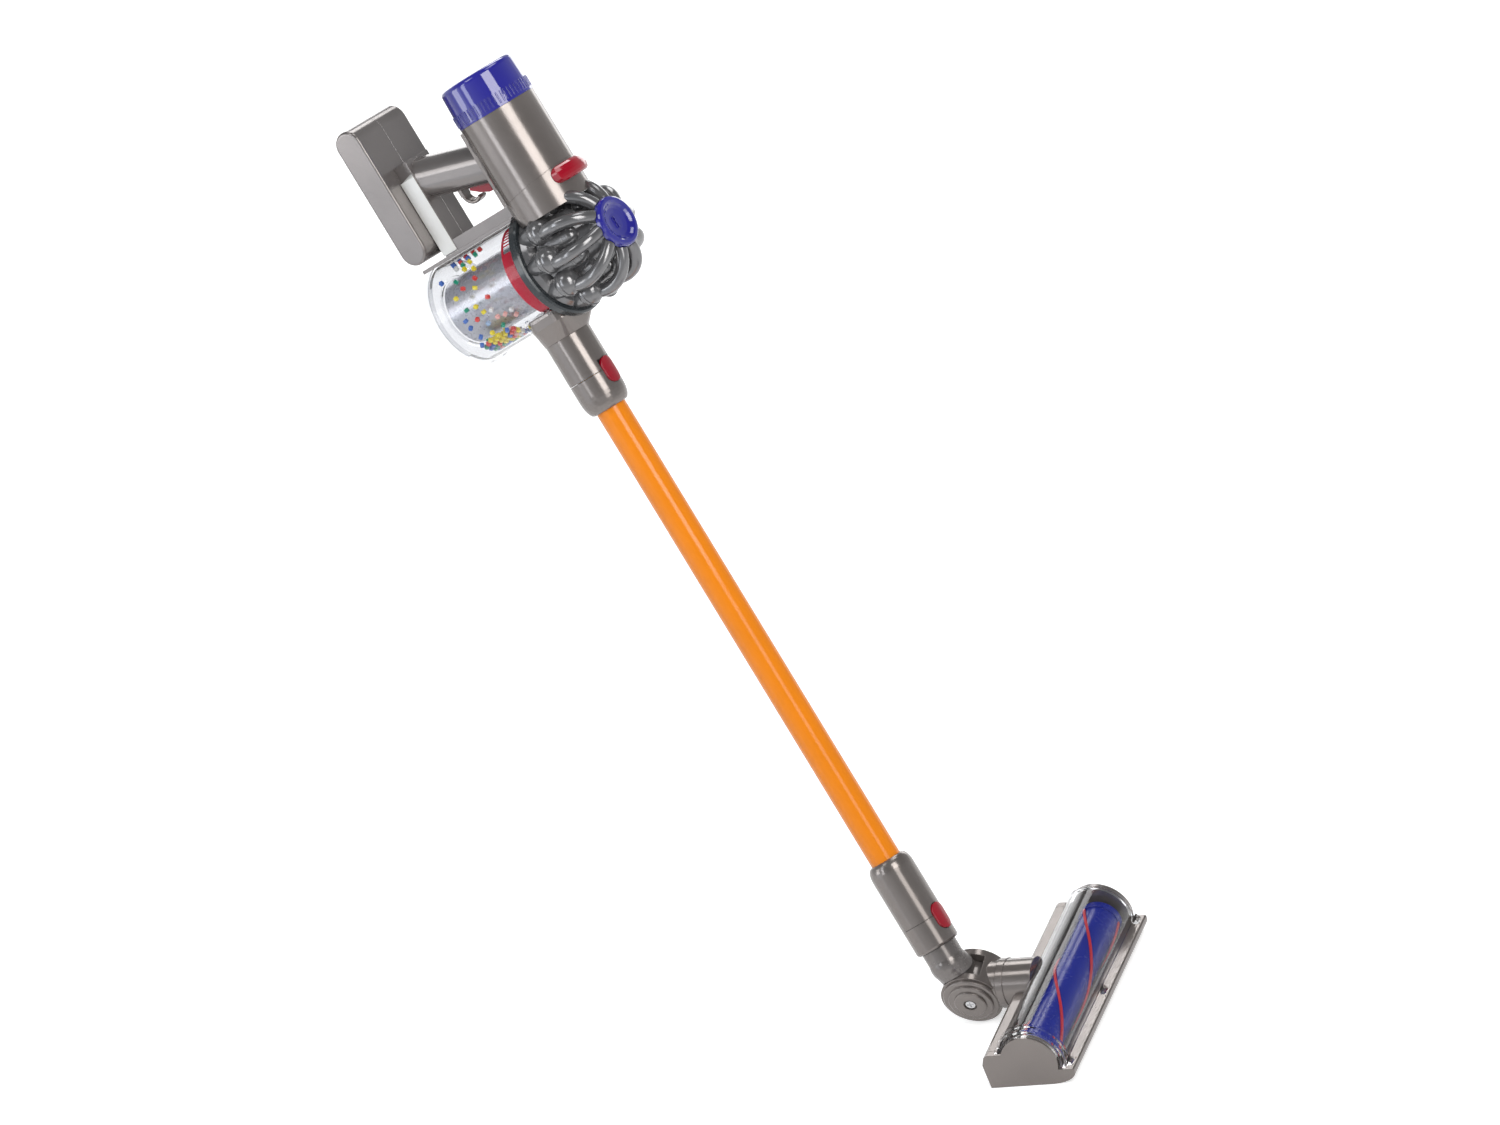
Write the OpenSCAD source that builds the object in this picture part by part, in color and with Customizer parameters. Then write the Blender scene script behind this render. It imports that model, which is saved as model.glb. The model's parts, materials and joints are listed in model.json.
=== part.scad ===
// Toy cordless stick vacuum cleaner: handheld unit, wand, jointed neck and floor head.
// Lengths are in millimetres. The origin is the middle of the hand grip, +Z is up, and the
// floor head lies flat with its front edge towards -Y, as the toy stands in use.

/* [Wand] */
// Length of the coloured tube that shows between its two collars
wand_len = 340; // [220:5:460]
// Outer diameter of the tube
wand_d = 20.8; // [19:0.2:21.6]
// Wall of the tube
wand_wall = 1.8; // [1.2:0.1:2.6]
// Length of tube that enters the nozzle
wand_spigot = 24; // [18:1:27]
// Length of tube glued into the lower collar
wand_seat = 20; // [14:1:22]

/* [Collars and nozzle] */
// Diameter of the nozzle and the upper collar
nozzle_d = 32; // [31:0.2:34]
// Length of the round part of the nozzle
nozzle_len = 30; // [28:0.5:36]
// Length of the collar on top of the wand
upper_collar_len = 23.7; // [21:0.5:32]
// Diameter of the lower collar and the neck socket
lower_collar_d = 30.2; // [29.4:0.2:32]
// Length of the lower collar
lower_collar_len = 46; // [43:0.5:56]
// Length of the neck socket below the lower collar
socket_len = 19; // [17:0.5:24]
// Height of the rounded shoulder where the lower collar meets the tube
shoulder_h = 9.3; // [6:0.5:12]
// Diameter of the socket's spigot, which plugs into the lower collar
spigot_d = 26.4; // [26:0.1:26.8]
// Length of the socket's spigot
spigot_len = 19; // [15:0.5:21]
// Width of a release button
button_w = 11.4; // [9:0.2:13]
// Length of a release button
button_len = 18.2; // [16:0.2:20]
// How far a release button stands proud of its collar
button_proud = 1.2; // [0.6:0.1:1.6]
// Thickness of a release button
button_t = 2.6; // [2:0.1:3]

/* [Bin] */
// Outer radius of the clear bin
bin_r = 34.6; // [33:0.2:37]
// Wall of the clear bin
bin_wall = 1.8; // [1.2:0.1:2.2]
// Length of the bin behind the cyclone flange
bin_len = 83.8; // [72:1:90]
// Radius of the clear rim round the bin's closed end
rim_r = 36.7; // [36.4:0.1:39]
// Length of that rim
rim_len = 6; // [4:0.5:9]
// Radius of the grey core inside the bin
core_r = 22.6; // [21:0.2:24]
// Wall of the core
core_wall = 1.8; // [1.4:0.1:2.2]
// Gap between the core's closed end and the bin's end plate
core_end_gap = 2.8; // [2.6:0.2:5]
// Height of the air duct between nozzle and bin
duct_rise = 11.9; // [11:0.1:14]
// Side of one bead
bead = 2.6; // [2.2:0.1:3]

/* [Cyclone pack] */
// Radius of the dark flange that carries the bin
flange_r = 40; // [39.6:0.2:42]
// Thickness of the flange
flange_t = 6.5; // [5:0.5:8]
// Length of the cyclone pack in front of the flange
pack_len = 52; // [46:1:54]
// Number of cyclones in each tier
cyclones = 10; // [8:1:12]
// Radius of an outer cyclone's round head
bulb_r = 9.2; // [8.4:0.2:9.8]
// Distance of the outer cyclones from the pack's axis
bulb_ring_r = 31; // [30:0.2:32]
// Radius of an air finger
finger_r = 4.3; // [3.6:0.1:4.8]
// Bend radius of an air finger
finger_bend = 22; // [21:0.2:23]
// Radius of an inner cyclone
inner_r = 6.2; // [5.4:0.1:6.2]
// Radius of the coloured cap in the middle of the pack
hub_cap_r = 17.5; // [16:0.1:19]

/* [Barrel] */
// Radius of the upright motor barrel
barrel_r = 27; // [26:0.2:28.4]
// Wall of the barrel
barrel_wall = 2.2; // [1.8:0.1:2.8]
// Distance of the barrel's axis in front of the wand's axis
barrel_fwd = 46.7; // [46:0.1:48]
// Height of the barrel's lower edge above the nozzle's mouth
barrel_z0 = 104; // [102:0.5:106]
// Height of the barrel above its lower edge
barrel_len = 73.6; // [70:1:84]
// Height of the filter cap on top of the barrel
cap_len = 27.4; // [22:0.5:32]
// Tilt of the parting line across the barrel
parting_tilt = 8.4; // [4:0.2:10]
// Width of the bin latch
latch_w = 32; // [26:1:36]
// Height of the bin latch
latch_h = 11.5; // [10.5:0.5:15]

/* [Handle] */
// Thickness of the handle measured up and down
grip_h = 27.4; // [25:0.2:28]
// Width of the handle
grip_w = 25; // [22:0.5:26]
// Wall of the handle mouldings
grip_wall = 2.4; // [1.8:0.1:3]
// Slope of the handle towards the barrel
grip_tilt = 14; // [10:0.5:16]
// Height of the middle of the grip above the nozzle's mouth
grip_z = 161; // [158:0.5:164]
// Distance of the middle of the grip behind the wand's axis
grip_back = 18; // [16:0.5:20]
// Width of the strut and of the rail on the bin
strut_w = 26.2; // [26.1:0.1:28]
// Depth of the strut
strut_d = 11.5; // [9:0.5:13]
// Distance of the strut's front face behind the wand's axis
strut_back = 29.3; // [28:0.1:31]
// Thickness of the rail above its foot
rail_h = 7.6; // [6:0.2:9]
// Thickness of the rail's foot
foot_t = 2.4; // [1.8:0.1:3]
// Width of the trigger
trigger_w = 8.6; // [7:0.2:10]

/* [Battery box] */
// Thickness of the battery box, front to back
box_t = 20.2; // [20:0.1:22]
// Height of the battery box
box_h = 98.5; // [90:0.5:104]
// Width of the battery box, side to side
box_w = 56.2; // [56:0.2:60]
// Wall of the battery box
box_wall = 1.6; // [1.4:0.1:2]
// Rounding of the battery box's edges
box_round = 1.8; // [0.8:0.1:2.2]
// Height of the battery box's lower end above the nozzle's mouth
box_z0 = 118; // [115:0.1:119]
// Diameter of a cell
cell_d = 14.2; // [13.5:0.1:14.4]
// Length of a cell
cell_len = 50.5; // [49:0.1:50.5]
// Distance between neighbouring cells
cell_pitch = 17; // [15.4:0.2:20]

/* [Neck] */
// Distance from the neck socket's mouth to the elbow's bend
elbow_drop = 13; // [11:0.5:18]
// Distance from the elbow's bend to the knuckle's pivot
elbow_leg = 24.6; // [24:0.2:30]
// Sideways bend of the elbow
elbow_bend = 29.2; // [10:0.2:40]
// Radius of the elbow where it leaves the socket
elbow_r = 12.2; // [11.6:0.1:12.8]
// Radius of the knuckle's drum
drum_r = 20.4; // [20:0.1:21]
// Width of the knuckle's drum without its caps
drum_w = 26; // [25:0.5:29]
// Width of the elbow's eye between the knuckle's cheeks
eye_w = 15.8; // [13:0.2:17]
// Radius of the elbow's eye
eye_r = 14; // [12:0.2:14.4]
// Radius of the pivot pin
pivot_r = 3; // [2.4:0.1:3.6]
// Thickness of a stepped cap on the knuckle
cap_t = 4.8; // [4:0.2:5.6]
// Radius of the neck tube
tube_r = 15.7; // [15.2:0.1:16.4]
// Radius of the knuckle's journal inside the neck tube
journal_r = 12; // [11:0.1:12.6]
// Length of that journal
journal_len = 12; // [9:0.5:14]
// Distance of the pivot behind the head's rear edge
pivot_back = 29.7; // [29:0.1:34]
// Height of the pivot above the floor
pivot_z = 22.9; // [22.8:0.1:24]
// Roll of the neck about the neck tube, as the toy stands
neck_roll = -12.4; // [-20:0.2:20]
// Lean of the neck, as the toy stands
neck_pitch = -27.4; // [-50:0.2:-10]
// Twist of the wand in the neck, as the toy stands
neck_twist = 2.5; // [-30:0.5:30]

/* [Floor head] */
// Width of the floor head
head_w = 169.7; // [150:1:200]
// Depth of the floor head, front to back
head_d = 59.9; // [58:0.1:64]
// Height of the rear ledge
ledge_h = 25; // [24:0.2:27]
// Height of the front lip
lip_h = 10.8; // [9:0.2:13]
// Thickness of an end plate
plate_t = 5; // [4:0.2:7]
// Outer radius of the clear cover
cover_r = 22.4; // [22:0.1:22.8]
// Wall of the clear cover
cover_wall = 1.4; // [1.1:0.1:1.6]
// Height of the rims round the clear cover
rim_h = 1.4; // [0.8:0.1:1.8]
// Radius of the arch on an end plate
arch_r = 19.2; // [18:0.1:20]
// Distance of the cover's axis in front of the rear edge
cover_fwd = 31.2; // [30.8:0.1:31.6]
// Height of the cover's axis above the sole
cover_z = 17.4; // [17:0.1:18]

/* [Brush roller] */
// Radius of the brush roller
roller_r = 13.2; // [12:0.1:13.4]
// Distance of the roller's axis in front of the rear edge
roller_fwd = 32.2; // [31.6:0.1:32.6]
// Height of the roller's axis above the sole
roller_z = 15; // [14.8:0.1:15.6]
// How far a strip stands out of the roller
strip_h = 1.1; // [0.7:0.1:1.3]
// Number of spiral strips
strips = 3; // [2:1:5]
// Turn of a strip from end to end of the roller
strip_turn = 250; // [120:10:400]
// Radius of a rear floor wheel
wheel_r = 4.3; // [3.8:0.1:4.8]

/* [Fits] */
// Gap on each side of a shaft that turns in a bore
run_fit = 0.06; // [0.03:0.01:0.1]
// Gap between faces that are screwed or glued together
seat_fit = 0.05; // [0.02:0.01:0.1]
// Gap between parts that move past each other
move_gap = 0.35; // [0.3:0.05:0.5]

/* [Hidden] */
$fn = 64;

wand_r = wand_d / 2;
nozzle_r = nozzle_d / 2;
lower_r = lower_collar_d / 2;
spigot_r = spigot_d / 2;
seam = 0.3;
bin_z = nozzle_len + duct_rise + bin_r;
flange_q = 22.8;
pack_q = flange_q + flange_t;
bin_end_q = flange_q - bin_len;
end_plate_t = 2.2;
core_q0 = bin_end_q + end_plate_t + core_end_gap;
core_q1 = 13;
band_wall = 1.5;
band_r = bin_r - bin_wall - 0.4;
barrel_z1 = barrel_z0 + barrel_len;
parting_z = barrel_z0 + 20;
foot_z = bin_z + bin_r + seat_fit;
rail_z = foot_z + foot_t;
rail_top = rail_z + rail_h;
strut_q1 = -strut_back;
strut_q0 = strut_q1 - strut_d;
box_y0 = strut_back + strut_d;
box_mid_z = box_z0 + box_h / 2;
grip_top_z = grip_z + (strut_back + strut_d - grip_back) * tan(grip_tilt) + grip_h / 2;
latch_z = barrel_z0 + 11.5;
latch_travel = 2.5;
button_travel = 1;
trigger_y = -11.5;
trigger_z = grip_z + (trigger_y - grip_back) * tan(grip_tilt) - grip_h / 2 + 6.5;
seam_y = 10.5;
collar_end = -lower_collar_len;
socket_end = collar_end - socket_len;
wheel_y = -5.4;
wheel_z = wheel_r + 0.05;
wheel_x = head_w / 2 - 28.8;
plate_skin = 1.5;
cover_len = head_w - 2 * plate_skin;
rim_w = 1.8;

// Turning a vector about the three axes
function turn_x(v, a) = [v.x, v.y * cos(a) - v.z * sin(a), v.y * sin(a) + v.z * cos(a)];
function turn_y(v, a) = [v.x * cos(a) + v.z * sin(a), v.y, v.z * cos(a) - v.x * sin(a)];
function turn_z(v, a) = [v.x * cos(a) - v.y * sin(a), v.x * sin(a) + v.y * cos(a), v.z];
function elbow_dir(v) = turn_y(turn_x(v, neck_pitch), neck_roll);
function hand_dir(v) = elbow_dir(turn_y(turn_z(v, neck_twist), elbow_bend));

// The chain of places from the floor head up to the grip, measured in the head's frame
pivot_at = [0, pivot_back, pivot_z];
bend_at = pivot_at + elbow_dir([0, 0, elbow_leg]);
wand_at = bend_at + hand_dir([0, 0, elbow_drop + socket_len + lower_collar_len]);
hand_at = wand_at + hand_dir([0, 0, wand_len + upper_collar_len]);
grip_at = hand_at + hand_dir([0, grip_back, grip_z]);

// Frames: the head's rear bottom edge, the pivot, the elbow, the bend, the foot of the wand
// and the mouth of the nozzle. In the last two +Z runs up the wand and -Y is the front.
module in_head() { translate(-grip_at) children(); }
module in_knuckle() { in_head() translate(pivot_at) rotate([0, neck_roll, 0]) children(); }
module in_elbow() { in_knuckle() rotate([neck_pitch, 0, 0]) children(); }
module in_bend() { in_elbow() translate([0, 0, elbow_leg]) rotate([0, elbow_bend, 0]) children(); }
module in_wand() {
    in_bend() translate([0, 0, elbow_drop + socket_len + lower_collar_len])
        rotate([0, 0, neck_twist]) children();
}
module in_hand() { in_wand() translate([0, 0, wand_len + upper_collar_len]) children(); }
// The bin's axis: +Z of the children runs forward, +Y up the wand
module on_bin() { in_hand() translate([0, 0, bin_z]) rotate([90, 0, 0]) children(); }
// The grip's axis: +Y of the children runs back along the handle
module on_grip() { in_hand() translate([0, grip_back, grip_z]) rotate([grip_tilt, 0, 0]) children(); }

// Extrudes an outline of (Y, Z) points along X
module along_x(len) { rotate([90, 0, 90]) linear_extrude(len, center = true) children(); }
// Extrudes an outline of (X, Z) points backward from the plane y = y0
module along_y(y0, len) { translate([0, y0 + len, 0]) rotate([90, 0, 0]) linear_extrude(len) children(); }
module round_rect(w, h, r) {
    square([w - 2 * r, h], center = true);
    square([w, h - 2 * r], center = true);
    for (x = [-1, 1], y = [-1, 1]) translate([x * (w / 2 - r), y * (h / 2 - r)]) circle(r);
}
module ring(r_out, r_in, z0, z1) {
    translate([0, 0, z0]) difference() {
        cylinder(r = r_out, h = z1 - z0);
        translate([0, 0, -1]) cylinder(r = r_in, h = z1 - z0 + 2);
    }
}
// Points of a rounded shoulder from (r1, z1), which stands upright, to (r0, z0)
function shoulder(r0, z0, r1, z1, steps = 7) =
    [for (i = [0:steps]) let (a = 90 * i / steps) [r0 + (r1 - r0) * cos(a), z1 + (z0 - z1) * sin(a)]];

// Joins rings of points, each with the same number of sides, into one closed skin
module skin(points, sides) {
    last = len(points) / sides - 1;
    walls = [for (i = [0:last - 1], j = [0:sides - 1]) let (k = (j + 1) % sides, a = i * sides, b = a + sides)
        each [[a + j, b + k, a + k], [a + j, b + j, b + k]]];
    ends = [[for (j = [0:sides - 1]) j], [for (j = [sides - 1:-1:0]) last * sides + j]];
    polyhedron(points, concat(walls, ends));
}
// A coil spring along +Z as one tube
module coil(r, wire, turns, len, steps = 10, sides = 6) {
    pitch = (len - 2 * wire) / turns;
    skin([for (i = [0:turns * steps]) let (a = 360 * i / steps)
        for (j = [0:sides - 1]) let (b = 360 * j / sides, d = r + wire * cos(b))
            [d * cos(a), d * sin(a), wire + pitch * i / steps + wire * sin(b)]], sides);
}

// Wand, collars and nozzle

// Room for a release button, cut from the front of a collar of radius r
module button_room(r, gap) {
    along_y(-r - 4, button_proud + button_t + button_travel + 2.8 - seat_fit)
        offset_obround(gap);
}
module offset_obround(gap) { round_rect(button_w + 2 * gap, button_len + 2 * gap, button_w / 2 + gap - 0.01); }
// A release button on a collar of radius r, its face curved like the collar
module release_button(r) {
    back_y = -r - button_proud + button_t;
    difference() {
        intersection() {
            along_y(-r - 6, 6 + r + back_y) offset_obround(0);
            translate([0, 0, -button_len]) cylinder(r = r + button_proud, h = 2 * button_len);
        }
        translate([0, back_y + 0.5, 0]) rotate([90, 0, 0]) cylinder(r = spring_r + 0.7, h = 2);
    }
}
spring_r = 1.9;
spring_wire = 0.28;
spring_len = button_travel + 1.5 + 0.2 - 2 * seat_fit;
module button_spring(r) {
    floor_y = -r - button_proud + button_t + button_travel + 0.2;
    translate([0, floor_y - seat_fit, 0]) rotate([90, 0, 0]) coil(spring_r, spring_wire, 2, spring_len);
}
upper_button_z = -2;
lower_button_z = collar_end - 2.2;

module upper_collar() color("#77736f") in_hand() difference() {
    rotate_extrude() polygon(concat([[wand_r + seat_fit, -seam / 2], [nozzle_r, -seam / 2]],
        shoulder(wand_r + 1, -upper_collar_len, nozzle_r, -upper_collar_len / 2),
        [[wand_r + seat_fit, -upper_collar_len]]));
    translate([0, 0, upper_button_z]) button_room(nozzle_r, 0.15);
}
module nozzle() color("#77736f") in_hand() difference() {
    union() {
        ring(nozzle_r, wand_r + run_fit, seam / 2, nozzle_len - 2);
        ring(nozzle_r, 8, nozzle_len - 2, nozzle_len);
    }
    translate([0, 0, upper_button_z]) button_room(nozzle_r, move_gap);
    along_y(-nozzle_r - 4, button_proud + button_t + button_travel + 2.8 - seat_fit)
        square([button_w + 2 * move_gap, 2 * upper_button_z + 2 * button_len / 2], center = true);
}
module wand_tube() color("#f28a12") in_wand()
    ring(wand_r, wand_r - wand_wall, -wand_seat, wand_len + upper_collar_len + wand_spigot);
module upper_button() color("#c2152f") in_hand() translate([0, 0, upper_button_z]) release_button(nozzle_r);
module upper_button_spring() color("silver") in_hand() translate([0, 0, upper_button_z]) button_spring(nozzle_r);

module lower_collar() color("#77736f") in_wand() difference() {
    rotate_extrude() polygon(concat([[spigot_r + run_fit, collar_end + seam / 2], [lower_r, collar_end + seam / 2]],
        shoulder(wand_r + 0.5, 0, lower_r, -shoulder_h),
        [[wand_r + seat_fit, 0], [wand_r + seat_fit, -wand_seat - seat_fit], [8.4, -wand_seat - seat_fit],
            [8.4, collar_end + spigot_len + 1.5], [spigot_r + run_fit, collar_end + spigot_len + 1.5]]));
    translate([0, 0, lower_button_z]) button_room(lower_r, move_gap);
}
module neck_socket() color("#77736f") in_wand() difference() {
    rotate_extrude() polygon([[elbow_r - 1.6 + run_fit, socket_end], [lower_r - 1, socket_end],
        [lower_r, socket_end + 1.4], [lower_r, collar_end - seam / 2], [spigot_r, collar_end - seam / 2],
        [spigot_r, collar_end + spigot_len - 1], [spigot_r - 1, collar_end + spigot_len],
        [elbow_r - 0.5, collar_end + spigot_len], [elbow_r - 0.5, collar_end - 5],
        [elbow_r - 1.6 + run_fit, collar_end - 5]]);
    translate([0, 0, lower_button_z]) button_room(lower_r, 0.15);
}
module lower_button() color("#c2152f") in_wand() translate([0, 0, lower_button_z]) release_button(lower_r);
module lower_button_spring() color("silver") in_wand() translate([0, 0, lower_button_z]) button_spring(lower_r);

// Neck

module neck_elbow() color("#6f6b68") {
    in_elbow() difference() {
        union() {
            difference() {
                union() {
                    translate([0, 0, elbow_leg]) rotate([0, elbow_bend, 0]) {
                        cylinder(r = elbow_r, h = elbow_drop - seam);
                        cylinder(r = elbow_r - 1.6, h = elbow_drop + socket_len - 6);
                    }
                    translate([0, 0, elbow_leg]) sphere(r = elbow_r + 0.5);
                    cylinder(r1 = elbow_r + 2.4, r2 = elbow_r + 0.4, h = elbow_leg);
                }
                rotate([0, 90, 0]) cylinder(r = drum_r + move_gap, h = 3 * drum_w, center = true);
            }
            intersection() {
                translate([-eye_w / 2, -stem_d / 2, 0]) cube([eye_w, stem_d, elbow_leg]);
                cylinder(r = elbow_r, h = elbow_leg);
            }
            rotate([0, 90, 0]) cylinder(r = eye_r, h = eye_w, center = true);
        }
        rotate([0, 90, 0]) cylinder(r = pivot_r + run_fit, h = eye_w + 2, center = true);
        translate([0, 0, elbow_leg]) rotate([0, elbow_bend, 0]) translate([0, 0, 4])
            cylinder(r = 6, h = elbow_drop + socket_len);
    }
}
stem_d = 18;
knuckle_cap_r = pivot_back - seam_y - 0.5;
// Stepped outline of a cap, from the drum's face outward
cap_steps = [[1, 0], [1, 0.28], [0.96, 0.4], [0.8, 0.4], [0.8, 0.62], [0.76, 0.72], [0.58, 0.72],
    [0.58, 0.9], [0.54, 1], [0.24, 1], [0.24, 0.62], [0.08, 0.62], [0.08, 0]];
module knuckle_caps() color("#77736f") in_knuckle() for (side = [-1, 1])
    rotate([0, 90 * side, 0]) translate([0, 0, drum_w / 2 + seat_fit])
        rotate_extrude() polygon([for (s = cap_steps) [s.x * knuckle_cap_r, s.y * cap_t]]);
module knuckle_screws() color("silver") in_knuckle() for (side = [-1, 1])
    rotate([0, 90 * side, 0]) translate([0, 0, drum_w / 2 + cap_t * 0.62 + 2 * seat_fit]) difference() {
        union() {
            cylinder(r = 3.2, h = 1.2);
            translate([0, 0, -cap_t * 0.62 - 3]) cylinder(r = 1.2, h = cap_t * 0.62 + 3.5);
        }
        for (a = [0, 90]) rotate([0, 0, a]) translate([-2.2, -0.4, 0.6]) cube([4.4, 0.8, 2]);
    }
module pivot_pin() color("silver") in_knuckle() rotate([0, 90, 0]) difference() {
    cylinder(r = pivot_r, h = drum_w - 0.2, center = true);
    for (side = [-1, 1]) translate([0, 0, side * drum_w / 2]) cylinder(r = 1.2 + seat_fit, h = 7, center = true);
}
neck_face = seam_y - pivot_back + seam / 2;
module knuckle_housing() color("#77736f") in_knuckle() difference() {
    union() {
        difference() {
            union() {
                rotate([0, 90, 0]) cylinder(r = drum_r, h = drum_w, center = true);
                translate([0, neck_face, 0]) rotate([-90, 0, 0]) cylinder(r = tube_r, h = -neck_face - 8);
            }
            translate([-drum_w, neck_face - drum_r, -drum_r]) cube([2 * drum_w, drum_r, 2 * drum_r]);
            for (side = [-1, 1]) rotate([0, 90 * side, 0]) translate([0, 0, drum_w / 2])
                cylinder(r = knuckle_cap_r + seat_fit, h = drum_w);
        }
        translate([0, neck_face + 0.5, 0]) rotate([90, 0, 0]) cylinder(r = journal_r, h = journal_len);
    }
    slot_w = eye_w + 2 * move_gap;
    rotate([0, 90, 0]) cylinder(r = eye_r + move_gap, h = slot_w, center = true);
    translate([-slot_w / 2, -4, -drum_r - 1]) cube([slot_w, 3 * drum_r, 3 * drum_r]);
    translate([-slot_w / 2, -stem_d / 2 - 1.4, 0]) cube([slot_w, drum_r, 3 * drum_r]);
    rotate([0, 90, 0]) cylinder(r = pivot_r + seat_fit, h = drum_w + 2, center = true);
}
module cover_room(gap) {
    translate([0, -cover_fwd, cover_z]) rotate([0, 90, 0]) cylinder(r = cover_r + gap, h = 2 * head_w, center = true);
}
module neck_tube() color("#7d7975") in_head() difference() {
    translate([0, seam_y - seam / 2, pivot_z]) rotate([90, 0, 0]) {
        cylinder(r = tube_r, h = seam_y + 14);
        cylinder(r = tube_r + 0.5, h = 5);
    }
    translate([0, seam_y + 1, pivot_z]) rotate([90, 0, 0])
        cylinder(r = journal_r + run_fit, h = journal_len + 1.5);
    cover_room(0.2);
}

// Floor head

// Side outline of the head without its dome: sole, curved front, lip and rear ledge
function nose(steps = 6) = [for (i = [0:steps]) let (a = 90 * i / steps)
    [-head_d + (head_d - 42.6) * (1 - sin(a)), (lip_h - 3) * (1 - cos(a))]];
module head_outline() {
    polygon(concat([[0, 0]], nose(), [[-head_d, lip_h - 0.8], [-head_d + 0.8, lip_h], [-15, lip_h],
        [-15, ledge_h], [-3.3, ledge_h], [-1, ledge_h - 1.6], [1.2, 17.7]]));
}
module roller_room(w) {
    translate([0, -roller_fwd, roller_z]) rotate([0, 90, 0])
        cylinder(r = roller_r + strip_h + 1.4, h = w, center = true);
}
inner_w = head_w - 2 * plate_t - 2 * seat_fit;
end_wall = 2.6;
boss_len = end_wall + 0.6;
module head_base() color("#77736f") in_head() difference() {
    along_x(inner_w) head_outline();
    roller_room(inner_w - 2 * end_wall);
    intersection() {
        cover_room(seat_fit);
        translate([-head_w, -head_d, lip_h]) cube([2 * head_w, head_d, 3 * cover_r]);
    }
    translate([0, 20, pivot_z]) rotate([90, 0, 0]) cylinder(r = tube_r + seat_fit, h = 40);
    for (x = [-wheel_x, wheel_x]) translate([x - 4, wheel_y - wheel_r - 0.5, -1])
        cube([8, 2 * wheel_r + 1, wheel_r + wheel_z + 1.5]);
    translate([0, wheel_y, wheel_z]) rotate([0, 90, 0]) cylinder(r = 1.2 + run_fit, h = 2 * wheel_x + 14, center = true);
    for (p = base_screw_at) translate([p.x, p.y, -1]) cylinder(r = 2.2, h = 2.5);
}
screw_x = inner_w / 2 - 9.8;
base_screw_at = [[-screw_x, -17], [screw_x, -17], [-34, -8], [34, -8]];
module base_screws() color("silver") in_head() for (p = base_screw_at)
    translate([p.x, p.y, 0.3]) difference() {
        cylinder(r = 2.1, h = 1.2 - seat_fit);
        for (a = [0, 90]) rotate([0, 0, a]) translate([-1.5, -0.3, -1]) cube([3, 0.6, 1.7]);
    }
module end_plate(side) color("#7a7673") in_head() difference() {
    union() {
        translate([side * (head_w - plate_t) / 2, 0, 0]) along_x(plate_t) {
            head_outline();
            intersection() {
                translate([-cover_fwd, cover_z]) circle(arch_r);
                translate([-head_d, lip_h]) square([head_d, 2 * cover_r]);
            }
        }
        translate([side * (head_w / 2 - plate_t), -roller_fwd, roller_z]) rotate([0, -90 * side, 0])
            cylinder(r = 4, h = boss_len);
    }
    difference() {
        intersection() {
            cover_room(seat_fit);
            translate([-cover_len / 2 - seat_fit, -head_d, lip_h])
                cube([cover_len + 2 * seat_fit, head_d, 3 * cover_r]);
        }
        translate([0, -cover_fwd, cover_z]) rotate([0, 90, 0]) cylinder(r = arch_r, h = 2 * head_w, center = true);
    }
    translate([side * (head_w / 2 - plate_t - boss_len - 1), -roller_fwd, roller_z]) rotate([0, 90 * side, 0])
        cylinder(r = 2 + seat_fit, h = boss_len + 4);
}
module end_plate_left() end_plate(-1);
module end_plate_right() end_plate(1);
module roller_pins() color("silver") in_head() for (side = [-1, 1])
    translate([side * (head_w / 2 - plate_t + 2.9), -roller_fwd, roller_z]) rotate([0, -90 * side, 0])
        cylinder(r = 2, h = 16);
// Arc of the clear cover seen from the side, open below the lip
module cover_arc(r_out, r_in) difference() {
    translate([-cover_fwd, cover_z]) circle(r_out);
    translate([-cover_fwd, cover_z]) circle(r_in);
    translate([-2 * head_d, -head_d + lip_h + seat_fit]) square([3 * head_d, head_d]);
}
module clear_cover() color([0.9, 0.95, 1, 0.35]) in_head() {
    along_x(cover_len) cover_arc(cover_r, cover_r - cover_wall);
    for (side = [-1, 1]) translate([side * (cover_len - rim_w) / 2, 0, 0])
        along_x(rim_w) cover_arc(cover_r, arch_r + seat_fit);
    difference() {
        for (side = [-1, 1], inset = [rim_w / 2, 7]) translate([side * (cover_len / 2 - inset), 0, 0])
            along_x(rim_w) cover_arc(cover_r + rim_h, cover_r - cover_wall / 2);
        translate([-head_w, -15, 0]) cube([2 * head_w, 30, ledge_h + seat_fit]);
    }
}
clip_x = [-head_w / 2 + 7, 0, head_w / 2 - 7];
module cover_clips() color([0.9, 0.95, 1, 0.5]) in_head() for (x = clip_x) difference() {
    translate([x, 0, 0]) along_x(6) polygon([[-cover_fwd - cover_r - 4, lip_h + seat_fit],
        [-cover_fwd - cover_r - 4, lip_h + 1.6], [-cover_fwd - cover_r + 0.6, lip_h + 6.5],
        [-cover_fwd - cover_r + 4, lip_h + 6.5], [-cover_fwd - cover_r + 4, lip_h + seat_fit]]);
    cover_room(rim_h + 0.1);
}
roller_half = inner_w / 2 - boss_len - move_gap;
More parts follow.
